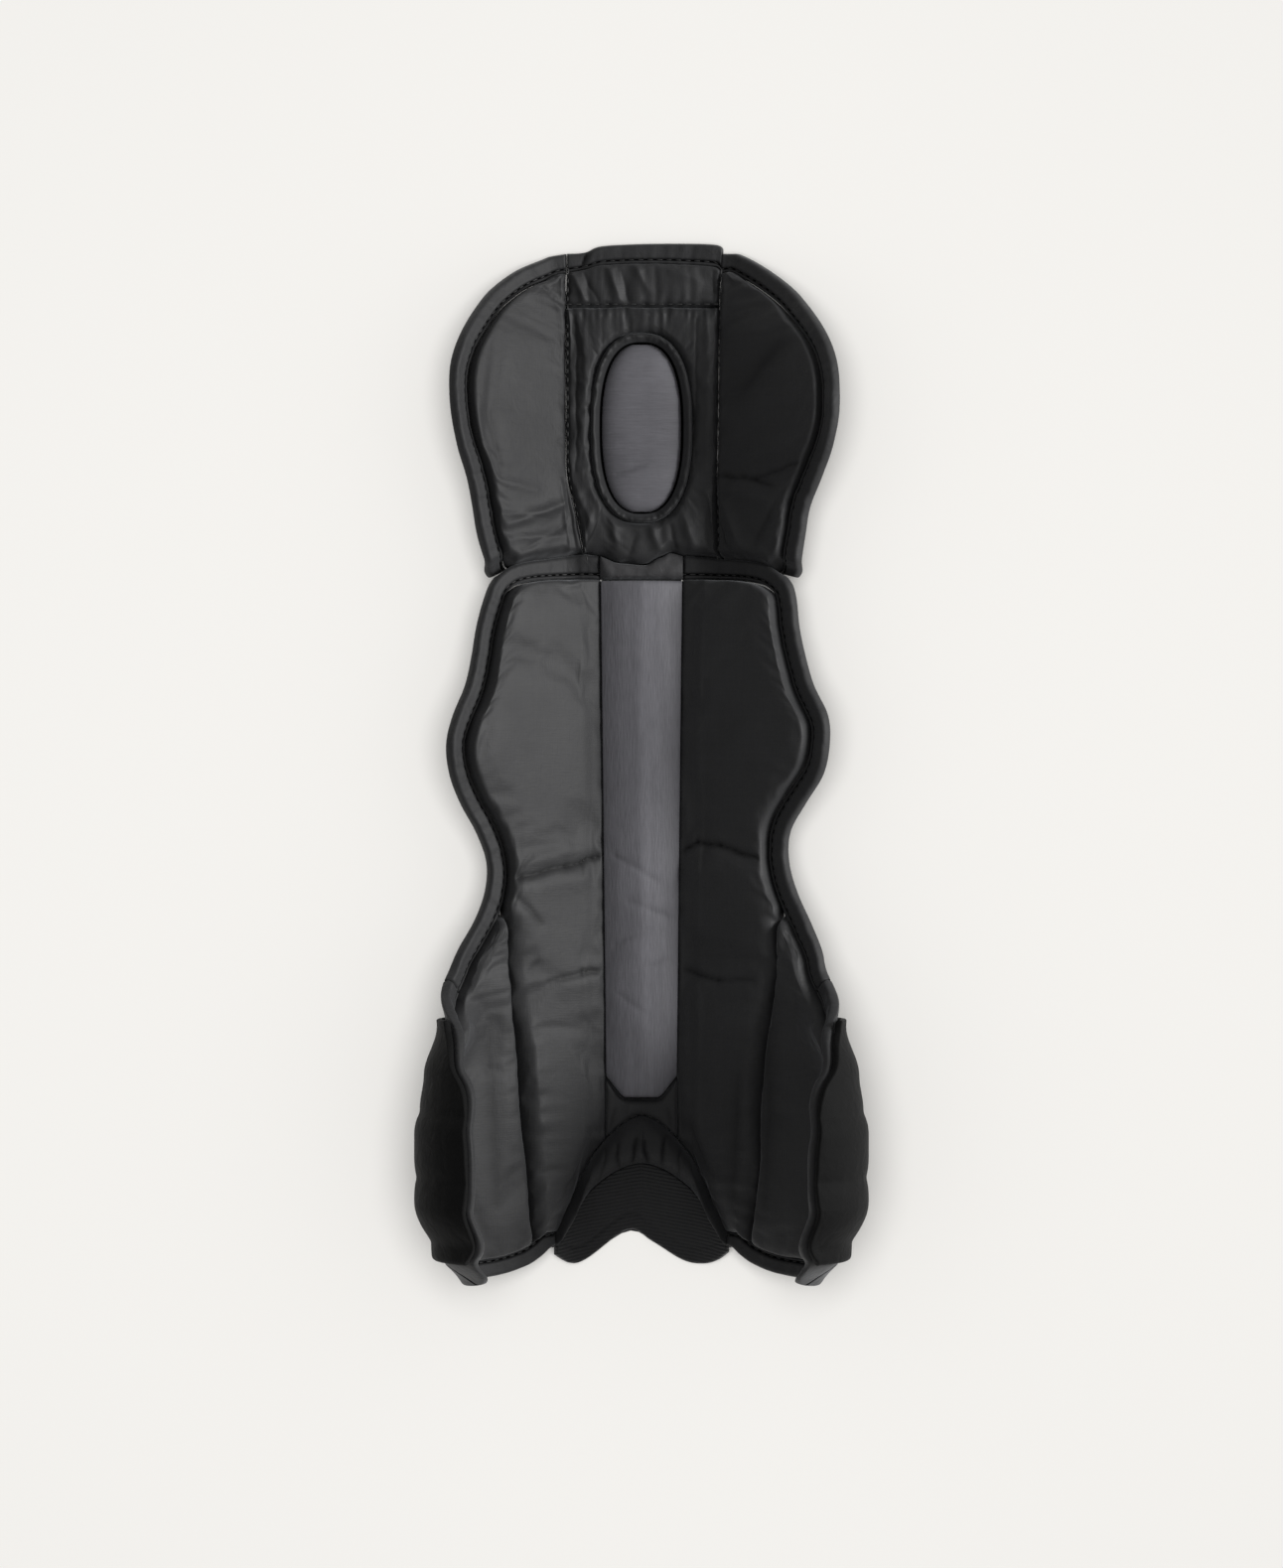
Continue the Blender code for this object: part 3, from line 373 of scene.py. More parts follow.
class GuardView(bpy.types.PropertyGroup):
    distance: bpy.props.FloatProperty(
        name="Distance", description="Camera's height over the floor", default=1.8, min=0.5,
        subtype="DISTANCE", unit="LENGTH")
    height: bpy.props.FloatProperty(
        name="Height", description="Length of floor that the picture's height shows", default=0.6316,
        min=0.1, subtype="DISTANCE", unit="LENGTH")
    centre: bpy.props.FloatProperty(
        name="Centre", description="Where along the guard the picture is centred", default=-0.0105,
        subtype="DISTANCE", unit="LENGTH")
    key: bpy.props.FloatProperty(
        name="Key", description="Power of the soft light from the right", default=30.0, min=0.0)
    floor_light: bpy.props.FloatProperty(
        name="Floor light", description="Power of the light over the floor", default=40.5, min=0.0)
    fill: bpy.props.FloatProperty(
        name="Fill", description="Strength of the light from all round", default=0.32, min=0.0)


# The cut and its fold


def mix(start, end, share):
    return start + (end - start) * share


def ease(share):
    held = max(0.0, min(1.0, share))
    return held * held * (3.0 - 2.0 * held)


def shares(count):
    return [step / count for step in range(count + 1)]


def through(points, steps=LINE_STEPS):
    """A smooth line through the chosen points."""
    line = []
    last = len(points) - 1
    for index in range(last):
        knots = [points[max(index - 1, 0)], points[index], points[index + 1],
                 points[min(index + 2, last)]]
        for step in range(steps):
            t = step / steps
            line.append(tuple(
                0.5 * (2 * s + (e - b) * t + (2 * b - 5 * s + 4 * e - a) * t * t
                       + (3 * s - b - 3 * e + a) * t ** 3)
                for b, s, e, a in zip(*knots)
            ))
    return line + [tuple(points[-1])]


def spaced(line, places):
    """The places at the given shares of the way along a line, in rising order."""
    runs = [math.dist(start, end) for start, end in zip(line, line[1:])]
    total = sum(runs)
    found = []
    index, passed = 0, 0.0
    for share in places:
        target = share * total
        while index < len(runs) - 1 and passed + runs[index] < target:
            passed += runs[index]
            index += 1
        part = min(1.0, max(0.0, (target - passed) / runs[index])) if runs[index] else 0.0
        found.append(tuple(mix(s, e, part) for s, e in zip(line[index], line[index + 1])))
    return found


def even(line, step):
    """The line again in equal runs of about the given length."""
    total = sum(math.dist(start, end) for start, end in zip(line, line[1:]))
    return spaced(line, shares(max(2, round(total / step))))


def moved_in(line, distance):
    inner = []
    for index, place in enumerate(line):
        start = line[max(index - 1, 0)]
        end = line[min(index + 1, len(line) - 1)]
        run = math.dist(start, end)
        inner.append((place[0] + (end[1] - start[1]) / run * distance,
                      place[1] - (end[0] - start[0]) / run * distance))
    return inner


def fold_at(along, column):
    station = along / TOTAL_LENGTH
    if station <= FOLDS[0].station:
        return getattr(FOLDS[0], column)
    for start, end in zip(FOLDS, FOLDS[1:]):
        if station <= end.station:
            share = (station - start.station) / (end.station - start.station)
            return mix(getattr(start, column), getattr(end, column), ease(share))
    return getattr(FOLDS[-1], column)


def bends(along):
    """The slopes round the fold at one section, as (distance from the centre line, radians)."""
    flat = FLAT_HALF * fold_at(along, "flat")
    pad = math.radians(PAD_SLOPE * fold_at(along, "pad"))
    start = WING_REACH * fold_at(along, "curl_start")
    run = CURL_RUN * fold_at(along, "curl_run")
    edge = math.radians(CURL_SLOPE * fold_at(along, "edge_slope"))
    return [(0.0, 0.0), (flat, 0.0), (flat + BEND_RUN, pad), (start, pad), (start + run, edge),
            (WING_REACH * 2.0, edge)]


def profile(distance, along):
    """(x, z, slope) of the folded cut at a distance from the centre line, arc by arc."""
    x = z = slope = 0.0
    knots = bends(along)
    for (start, start_slope), (end, end_slope) in zip(knots, knots[1:]):
        run = min(distance, end) - start
        slope = mix(start_slope, end_slope, run / (end - start))
        turn = slope - start_slope
        if abs(turn) < 1e-6:
            x += run * math.cos(slope)
            z += run * math.sin(slope)
        else:
            x += run * (math.sin(slope) - math.sin(start_slope)) / turn
            z += run * (math.cos(start_slope) - math.cos(slope)) / turn
        if distance <= end:
            break
    return x, z, slope


def unfolded(x, along):
    """How far round the fold a point lies that is seen at x from above."""
    low, high = 0.0, WING_REACH
    for _ in range(30):
        middle = (low + high) / 2
        if profile(middle, along)[0] < x:
            low = middle
        else:
            high = middle
    return low


def folded(across, along, height):
    """The place in space, in metres, of a point of the cut at a height above the outer face."""
    side = -1.0 if across < 0 else 1.0
    x, z, slope = profile(abs(across), along)
    x -= height * math.sin(slope)
    z += height * math.cos(slope)
    return Vector((side * x * MM, (along - MIDDLE) * MM, z * MM))


def seen(table, side_name, half, length, base=0.0):
    points = [(getattr(row, side_name) * half, base + row.along * length) for row in table]
    return [(unfolded(x, along), along) for x, along in points]


def in_cut(table, side_name, reach, length):
    return [(getattr(row, side_name) * reach, row.along * length) for row in table]


def spine_half(along):
    share = (along - SPINE_START) / (SHIN_LENGTH - SPINE_START)
    return mix(SPINE_END_HALF, SPINE_TOP_HALF, max(0.0, min(1.0, share)))


def top_wave(across):
    """How far the shin's top hem waves out at a place across."""
    for start, end in zip(TOP_WAVE, TOP_WAVE[1:]):
        if start.across <= across <= end.across:
            share = (across - start.across) / (end.across - start.across)
            return mix(start.out, end.out, ease(share))
    return 0.0


def arch_along(share, lower=False):
    foot = LOWER_ARCH_FOOT if lower else ARCH_FOOT
    top = LOWER_ARCH_TOP if lower else ARCH_TOP
    return mix(top, foot, abs(share) ** (LOWER_ARCH_POWER if lower else ARCH_POWER))


def oval(angle, half_width, half_length):
    c, s = math.cos(angle), math.sin(angle)
    across = math.copysign(abs(c) ** (2 / WINDOW_POWER), c) * half_width
    along = math.copysign(abs(s) ** (2 / WINDOW_POWER), s) * half_length
    return across, WINDOW_CENTRE + along


def inner_side():
    """The pad's border beside the centre strip and the yoke, then round the arch to its foot."""
    top = SHIN_LENGTH - BINDING_WIDTH
    line = [(spine_half(mix(top, SPINE_START, step)), mix(top, SPINE_START, step))
            for step in shares(24)]
    meets = SPINE_END_HALF / ARCH_HALF
    return line + [(mix(meets, 1.0, step) * ARCH_HALF, arch_along(mix(meets, 1.0, step)))
                   for step in shares(14)]


# One side of the shin's cut: its free edge, the line inside its hem and the groove beside the wing. The
# shin's hem ends at the corner, the wing's hem at the tip, and the groove leaves the inner line at start
# and meets it again at end.
ShinLines = namedtuple("ShinLines", "outer inner groove corner tip start end")


def shin_lines(side_name):
    outer = through(
        seen(SHIN_EDGE, side_name, SHIN_HALF, SHIN_LENGTH)
        + in_cut(WING_EDGE + BOTTOM_EDGE, side_name, WING_REACH, SHIN_LENGTH))
    inner = moved_in(outer, BINDING_WIDTH)
    corner = LINE_STEPS * (len(SHIN_EDGE) - 1)
    tip = corner + LINE_STEPS * len(WING_EDGE) + 3
    inner[0] = (inner_side()[0][0], SHIN_LENGTH - BINDING_WIDTH)
    outer[0] = (inner[0][0], outer[0][1])
    inner[-1] = (ARCH_HALF, ARCH_FOOT)
    outer[-1] = (ARCH_HALF, outer[-1][1])
    top = GROOVE[0].along * 1.24 * SHIN_LENGTH
    start = min(range(0, corner, 2), key=lambda i: abs(inner[i][1] - top))
    end = min(range(tip, len(inner)), key=lambda i: abs(inner[i][0] - GROOVE_END * WING_REACH))
    groove = through([inner[start]] + in_cut(GROOVE, side_name, WING_REACH, SHIN_LENGTH) + [inner[end]])
    return ShinLines(outer, inner, groove, corner, tip, start, end)


def knee_seam(side_name):
    return through([(getattr(row, side_name) * KNEE_SEAM, SHIN_LENGTH + row.along * KNEE_LENGTH)
                    for row in KNEE_SEAMS])


def knee_lines(side_name):
    seam = knee_seam(side_name)
    outer = through(seen(KNEE_EDGE, side_name, KNEE_HALF, KNEE_LENGTH, SHIN_LENGTH))
    pairs = [pair for pair in zip(outer, moved_in(outer, BINDING_WIDTH))
             if pair[1][0] > seam[0][0] + 3.0]
    outer = [(seam[0][0], SHIN_LENGTH + HEM_CORNER * KNEE_LENGTH)] + [pair[0] for pair in pairs]
    return outer, [seam[0]] + [pair[1] for pair in pairs], seam


# Nets and their heights


# A border of a filled piece: its height, how far in the piece rolls up from it, how strongly the seam
# puckers it, and whether the roll is a soft one.
Border = namedtuple("Border", "height roll pucker soft", defaults=[False])


def given_at(given, place):
    """A given number, or what a given function says of the place."""
    return given(place) if callable(given) else given


def edged(count, power=1.35):
    """Shares across a piece, closer together at both of its edges."""
    places = []
    for step in shares(count):
        bent = abs(2.0 * step - 1.0)
        places.append(0.5 + math.copysign(0.5 * (1.0 - (1.0 - bent) ** power), step - 0.5))
    return places


def patch(first, last, near, far, row_step, columns):
    """A fine net between four lines of the cut that meet at their ends."""
    length = max(sum(math.dist(a, b) for a, b in zip(line, line[1:])) for line in (near, far))
    rows = edged(max(6, round(length / row_step)), 1.15)
    starts, ends = spaced(near, rows), spaced(far, rows)
    ones, others = spaced(first, columns), spaced(last, columns)
    net = []
    for row, start, end in zip(rows, starts, ends):
        points = []
        for column, one, other in zip(columns, ones, others):
            points.append(tuple(
                mix(one[k], other[k], row) + mix(start[k], end[k], column)
                - mix(mix(first[0][k], first[-1][k], column), mix(last[0][k], last[-1][k], column), row)
                for k in (0, 1)))
        net.append(points)
    return net


def strip(outer, inner, columns):
    return [[tuple(mix(o, i, column) for o, i in zip(*pair)) for column in columns]
            for pair in zip(outer, inner)]


def on_side(net, side):
    return [[(side * across, along) for across, along in row] for row in net]


def rise(distance, roll):
    share = min(1.0, distance / roll)
    return math.sqrt(max(0.0, 1.0 - (1.0 - share) ** 2))


def wander(across, along, scale, seed):
    """A smooth wandering value, from about -1 to 1."""
    return noise.noise(Vector((across / scale, along / scale, seed * 7.31)))


def crease_lift(creases, x, along):
    """How far the creases lift or press the cloth at a place seen from above."""
    lift = 0.0
    for crease in creases:
        run_x, run_along = crease.x1 - crease.x0, crease.along1 - crease.along0
        length = math.hypot(run_x, run_along)
        share = ((x - crease.x0) * run_x + (along - crease.along0) * run_along) / length ** 2
        beyond = max(0.0, -share, share - 1.0) * length
        if beyond > 3.0 * crease.width:
            continue
        held = max(0.0, min(1.0, share))
        off = ((x - crease.x0) * run_along - (along - crease.along0) * run_x) / length
        if abs(off) > 4.0 * crease.width + 2.0:
            continue
        off += 0.7 * noise.noise(Vector((held * length / 6.0, crease.x0, crease.along0)))
        near = math.hypot(off, beyond)
        if near < 4.0 * crease.width:
            fade = 0.45 + 0.55 * math.sin(math.pi * mix(0.12, 0.88, held))
            sharpness = 1.1 if crease.height < 0 else 1.6
            lift += crease.height * fade * math.exp(-(near / crease.width) ** sharpness)
    return lift


def cushioned(net, thickness, borders, seed=1.0, wrap=False):
    """Heights of a filled piece, low at its borders with puckers along them.

    borders holds a Border, or a function of the border's place, for the first column, the last column,
    the first row and the last row.
    """
    heights = []
    for i, row in enumerate(net):
        line = []
        for j, place in enumerate(row):
            across, along = place
            edges = [(row[0], borders[0], 1), (row[-1], borders[1], 1)]
            if not wrap:
                edges += [(net[0][j], borders[2], 0), (net[-1][j], borders[3], 0)]
            share, gathers = 1.0, 0.0
            for edge, given, turned in edges:
                border = given_at(given, edge)
                away = math.dist(place, edge)
                least = border.height / thickness
                full = rise(away, border.roll)
                if border.soft:
                    full = 1.0 - max(0.0, 1.0 - away / border.roll) ** 2
                share *= least + (1.0 - least) * full
                if away < PUCKER_REACH and border.pucker:
                    here = edge[turned] if not wrap else edge[0] + edge[1]
                    ridge = noise.noise(Vector((here / 2.9, away / 26.0, seed * 3.7 + turned)))
                    ridge += 0.6 * noise.noise(Vector((here / 7.5, away / 40.0, seed * 1.9)))
                    gathers += border.pucker * ridge * math.exp(-away / PUCKER_FADE) * min(1.0, away / 0.8)
            height = thickness * share + gathers * min(1.0, 2.5 * share)
            height += 0.30 * wander(across, along, 24.0, seed) * share
            line.append(max(1.0, height))
        heights.append(line)
    return heights


def cushion_height(thickness, border, away):
    """How high a piece stands at a distance from one of its borders."""
    return mix(border.height, thickness, rise(away, border.roll))


def leaned(net, leans, wrap):
    """The underside's net: each border moved out under its neighbour, or in from it, by its lean."""
    moved = []
    for i, row in enumerate(net):
        line = []
        for j, place in enumerate(row):
            across, along = place
            edges = [(row[0], row[1], leans[0], row[-1]), (row[-1], row[-2], leans[1], row[0])]
            if not wrap:
                edges += [(net[0][j], net[1][j], leans[2], net[-1][j]),
                          (net[-1][j], net[-2][j], leans[3], net[0][j])]
            for edge, inside, given, opposite in edges:
                lean = given_at(given, edge)
                if not lean:
                    continue
                reach = min(max(EDGE_RUN, LEAN_RUN * abs(lean)), 0.9 * max(0.1, math.dist(edge, opposite)))
                near = lean * max(0.0, 1.0 - math.dist(place, edge) / reach) ** 2
                run = math.dist(edge, inside) or 1.0
                across += (edge[0] - inside[0]) / run * near
                along += (edge[1] - inside[1]) / run * near
            line.append((across, along))
        moved.append(line)
    return moved


# Meshes


def looks():
    made = bpy.data.collections.get("guard_looks")
    if made is None:
        made = bpy.data.collections.new("guard_looks")
        bpy.context.scene.collection.children.link(made)
    return made


def linked(name, mesh):
    made = bpy.data.objects.new(name, mesh)
    looks().objects.link(made)
    return made


def drawn_in(net, wrap, gap):
    """The net with its borders drawn in by half a seam's gap."""
    rows, columns = len(net), len(net[0])
    drawn = [list(row) for row in net]
    for i in range(rows):
        for j in range(columns):
            pulls = []
            if not wrap and i in (0, rows - 1):
                pulls.append(net[1 if i == 0 else rows - 2][j])
            if j in (0, columns - 1):
                pulls.append(net[i][1 if j == 0 else columns - 2])
            across, along = net[i][j]
            for pull in pulls:
                run = math.dist(net[i][j], pull)
                if run > 1e-6:
                    across += (pull[0] - net[i][j][0]) / run * gap / 2
                    along += (pull[1] - net[i][j][1]) / run * gap / 2
            drawn[i][j] = (across, along)
    return drawn


def body(name, net, top, bottom, wrap=False, gap=SEAM_GAP, leans=(0, 0, 0, 0), under_step=4, deep=()):
    """One closed body between two heights over a net, with the cut laid out in its UV map.

    Its vertex group named held is all but the inside of its upper face. Its attribute named cut_place
    holds each vertex's place in the cut and how far inside the upper face it lies, from 0 at the
    borders. Its painted-shade attribute is 1 in seams and creases, where little light comes, and the
    cloth paints shade there. The given shade columns lie in such a seam, and so do the undersides of
    leaned borders. The underside has fewer columns, where under_step is over 1.
    """
    net = drawn_in(net, wrap, gap)
    under = leaned(net, leans, wrap)
    mesh = bmesh.new()
    laid = mesh.loops.layers.uv.new("cut")
    rows, columns = len(net), len(net[0])
    kept = sorted({0, 1, columns - 2, columns - 1} | set(range(0, columns, under_step)))
    places, inside, shaded = {}, {}, {}
    high, low = [], []
    for i in range(rows):
        high.append([])
        low.append([])
        ends = not wrap and i in (0, rows - 1)
        for j in range(columns):
            vertex = mesh.verts.new(folded(*net[i][j], top[i][j]))
            places[vertex] = net[i][j]
            away = min(math.dist(net[i][j], net[i][0]), math.dist(net[i][j], net[i][-1]))
            if not wrap:
                away = min(away, math.dist(net[i][j], net[0][j]), math.dist(net[i][j], net[-1][j]))
            inside[vertex] = min(1.0, away / EDGE_RUN)
            # Painted shade: 1 on the upper face's columns that lie in a seam
            shaded[vertex] = 1.0 if j in deep else 0.0
            high[-1].append(vertex)
            if not ends and j not in kept:
                low[-1].append(None)
                continue
            vertex = mesh.verts.new(folded(*under[i][j], bottom[i][j]))
            places[vertex] = under[i][j]
            inside[vertex] = 0.0
            # Painted shade on the underside of a border that leans under or out from a neighbour
            sewn = [lean for lean, here in zip(leans, (j == 0, j == columns - 1, i == 0, i == rows - 1))
                    if here and given_at(lean, net[i][j])]
            shaded[vertex] = 1.0 if sewn else 0.0
            low[-1].append(vertex)
    for i in range(rows if wrap else rows - 1):
        k = (i + 1) % rows
        for j in range(columns - 1):
            mesh.faces.new((high[i][j], high[i][j + 1], high[k][j + 1], high[k][j]))
        for a, b in zip(kept, kept[1:]):
            one = [low[i][j] for j in range(a, b + 1) if low[i][j]]
            other = [low[k][j] for j in range(a, b + 1) if low[k][j]]
            mesh.faces.new(one + other[::-1])
        for j in (0, columns - 1):
            mesh.faces.new((low[i][j], low[k][j], high[k][j], high[i][j]))
    if not wrap:
        for i in (0, rows - 1):
            for j in range(columns - 1):
                mesh.faces.new((low[i][j], low[i][j + 1], high[i][j + 1], high[i][j]))
    bmesh.ops.recalc_face_normals(mesh, faces=mesh.faces)
    if mesh.calc_volume(signed=True) < 0.0:
        bmesh.ops.reverse_faces(mesh, faces=mesh.faces)
    for face in mesh.faces:
        for loop in face.loops:
            across, along = places[loop.vert]
            loop[laid].uv = (across * MM, along * MM)
    order = list(mesh.verts)
    data = bpy.data.meshes.new(name)
    mesh.verts.index_update()
    cuts = [(*places[vertex], inside[vertex]) for vertex in order]
    painted_shades = [shaded[vertex] for vertex in order]
    held = [index for index, cut in enumerate(cuts) if cut[2] == 0.0]
    mesh.to_mesh(data)
    mesh.free()
    stored = data.attributes.new("cut_place", "FLOAT_VECTOR", "POINT")
    for item, cut in zip(stored.data, cuts):
        item.vector = cut
    data.attributes.new("deep", "FLOAT", "POINT").data.foreach_set("value", painted_shades)
    data.shade_smooth()
    made = linked(name + SUFFIX, data)
    made.vertex_groups.new(name="held").add(held, 1.0, "REPLACE")
    return made


def creased(piece):
    """Presses the piece's creases and raises its folds, on the finished fine mesh, and paints shade into
    the pressed creases, darker the deeper they are.
    """
    creases = CREASES.get(piece.name.removesuffix(SUFFIX), [])
    if not creases:
        return
    deep = piece.data.attributes["deep"].data
    for vertex, item, shade in zip(piece.data.vertices, piece.data.attributes["cut_place"].data, deep):
        across, along, inside = item.vector
        if inside <= 0.01:
            continue
        side = -1.0 if across < 0 else 1.0
        x, _, slope = profile(abs(across), along)
        lift = crease_lift(creases, side * x, along)
        if lift:
            lift *= min(1.0, inside * 1.5) * MM
            vertex.co += Vector((-side * math.sin(slope), 0.0, math.cos(slope))) * lift
            # Painted shade in a pressed crease, full at 2.2 mm deep
            shade.value = max(shade.value, min(1.0, -lift / MM / 2.2))


def baked(piece):
    """The piece's evaluated mesh in place of its own, with its modifiers removed."""
    graph = bpy.context.evaluated_depsgraph_get()
    made = bpy.data.meshes.new_from_object(piece.evaluated_get(graph), depsgraph=graph)
    made.name = piece.name
    piece.modifiers.clear()
    piece.data = made
    made.shade_smooth()


def filled(pieces):
    """Swells the pieces' upper faces with the filling's pressure, held at their seams."""
    cloth = bpy.context.scene.guard_cloth
    before = {piece: [vertex.co.copy() for vertex in piece.data.vertices] for piece in pieces}
    for piece in pieces:
        settings = piece.modifiers.new("filling", "CLOTH").settings
        settings.quality = 4
        settings.mass = 0.2
        settings.tension_stiffness = 18.0
        settings.compression_stiffness = 18.0
        settings.shear_stiffness = 4.0
        settings.bending_stiffness = 0.05
        settings.air_damping = 3.0
        settings.use_pressure = True
        settings.uniform_pressure_force = cloth.pressure
        settings.shrink_min = -cloth.slack
        settings.vertex_group_mass = "held"
        settings.effector_weights.gravity = 0.0
        piece.modifiers["filling"].collision_settings.use_collision = False
    scene = bpy.context.scene
    for number in range(1, cloth.frames + 1):
        scene.frame_set(number)
    graph = bpy.context.evaluated_depsgraph_get()
    for piece in pieces:
        settled = piece.evaluated_get(graph).data
        places = [vertex.co.copy() for vertex in settled.vertices]
        piece.modifiers.clear()
        for vertex, start, end in zip(piece.data.vertices, before[piece], places):
            moved = end - start
            if moved.length > cloth.limit:
                moved = moved.normalized() * cloth.limit
            vertex.co = start + moved
    scene.frame_set(1)


def smoothed(piece):
    step = piece.modifiers.new("smooth", "SUBSURF")
    step.levels = step.render_levels = 1
    baked(piece)
    creased(piece)
    attribute = piece.data.attributes.get("cut_place")
    if attribute:
        piece.data.attributes.remove(attribute)


def surface(rows, columns, place):
    """A net and its heights, from what place says of a row and a column: (across, along, height)."""
    points = [[place(row, column) for column in columns] for row in rows]
    net = [[point[:2] for point in line] for line in points]
    return net, [[point[2] for point in line] for line in points]


def level(net, height):
    return [[height] * len(row) for row in net]


def finish_piece(piece, cloth):
    piece.data.materials.clear()
    piece.data.materials.append(cloth)
    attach(piece, "root")
    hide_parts(piece.name.removesuffix(SUFFIX))


def sewn_piece(name, net, top, cloth, slot, pad=None, bottom=None, **shape):
    """A piece in its cloth that isn't filled. Its underside lies on the cut unless bottom is given."""
    piece = body(name, net, top, bottom or level(net, 0.0), **shape)
    smoothed(piece)
    finish_piece(piece, cloth)
    return piece


def filled_pieces(pieces, cloth):
    """Fills the pieces together and dresses them in their cloth."""
    filled(pieces)
    for piece in pieces:
        smoothed(piece)
        finish_piece(piece, cloth)


# Materials


def new_group(name, inputs, outputs):
    group = bpy.data.node_groups.new(name, "ShaderNodeTree")
    for socket, kind, default in inputs:
        made = group.interface.new_socket(name=socket, in_out="INPUT", socket_type=kind)
        if default is not None:
            made.default_value = default
    for socket, kind in outputs:
        group.interface.new_socket(name=socket, in_out="OUTPUT", socket_type=kind)
    return group, group.nodes.new("NodeGroupInput"), group.nodes.new("NodeGroupOutput")


def maths(group, operation, *values):
    node = group.nodes.new("ShaderNodeMath")
    node.operation = operation
    for index, value in enumerate(values):
        if isinstance(value, (int, float)):
            node.inputs[index].default_value = value
        else:
            group.links.new(value, node.inputs[index])
    return node.outputs[0]


def weave_group():
    """Uneven threads of a woven cloth in the cut: a height for bump, streaks and a slow mottle."""
    group = bpy.data.node_groups.get("guard_weave")
    if group:
        return group
    group, start, end = new_group(
        "guard_weave",
        [("Cut", "NodeSocketVector", None), ("Warp", "NodeSocketFloat", 1.0),
         ("Weft", "NodeSocketFloat", 1.0), ("Thread", "NodeSocketFloat", 1700.0)],
        [("Height", "NodeSocketFloat"), ("Streaks", "NodeSocketFloat"), ("Mottle", "NodeSocketFloat")])

    def cloud(scale, stretch, detail):
        turn = group.nodes.new("ShaderNodeVectorMath")
        turn.operation = "MULTIPLY"
        turn.inputs[1].default_value = stretch
        group.links.new(start.outputs["Cut"], turn.inputs[0])
        node = group.nodes.new("ShaderNodeTexNoise")
        node.inputs["Detail"].default_value = detail
        if isinstance(scale, (int, float)):
            node.inputs["Scale"].default_value = scale
        else:
            group.links.new(scale, node.inputs["Scale"])
        group.links.new(turn.outputs[0], node.inputs["Vector"])
        return node.outputs["Fac"]

    thread = start.outputs["Thread"]
    both = maths(group, "ADD", start.outputs["Warp"], start.outputs["Weft"])

    def woven(warp, weft):
        total = maths(group, "ADD", maths(group, "MULTIPLY", warp, start.outputs["Warp"]),
                      maths(group, "MULTIPLY", weft, start.outputs["Weft"]))
        return maths(group, "DIVIDE", total, both)

    fine = woven(cloud(thread, (1.0, 0.10, 1.0), 1.0), cloud(thread, (0.10, 1.0, 1.0), 1.0))
    slow = woven(cloud(520.0, (1.0, 0.04, 1.0), 3.0), cloud(520.0, (0.04, 1.0, 1.0), 3.0))
    group.links.new(fine, end.inputs["Height"])
    group.links.new(maths(group, "ADD", maths(group, "MULTIPLY", fine, 0.5),
                          maths(group, "MULTIPLY", slow, 0.5)), end.inputs["Streaks"])
    group.links.new(cloud(60.0, (1.0, 1.0, 1.0), 5.0), end.inputs["Mottle"])
    return group


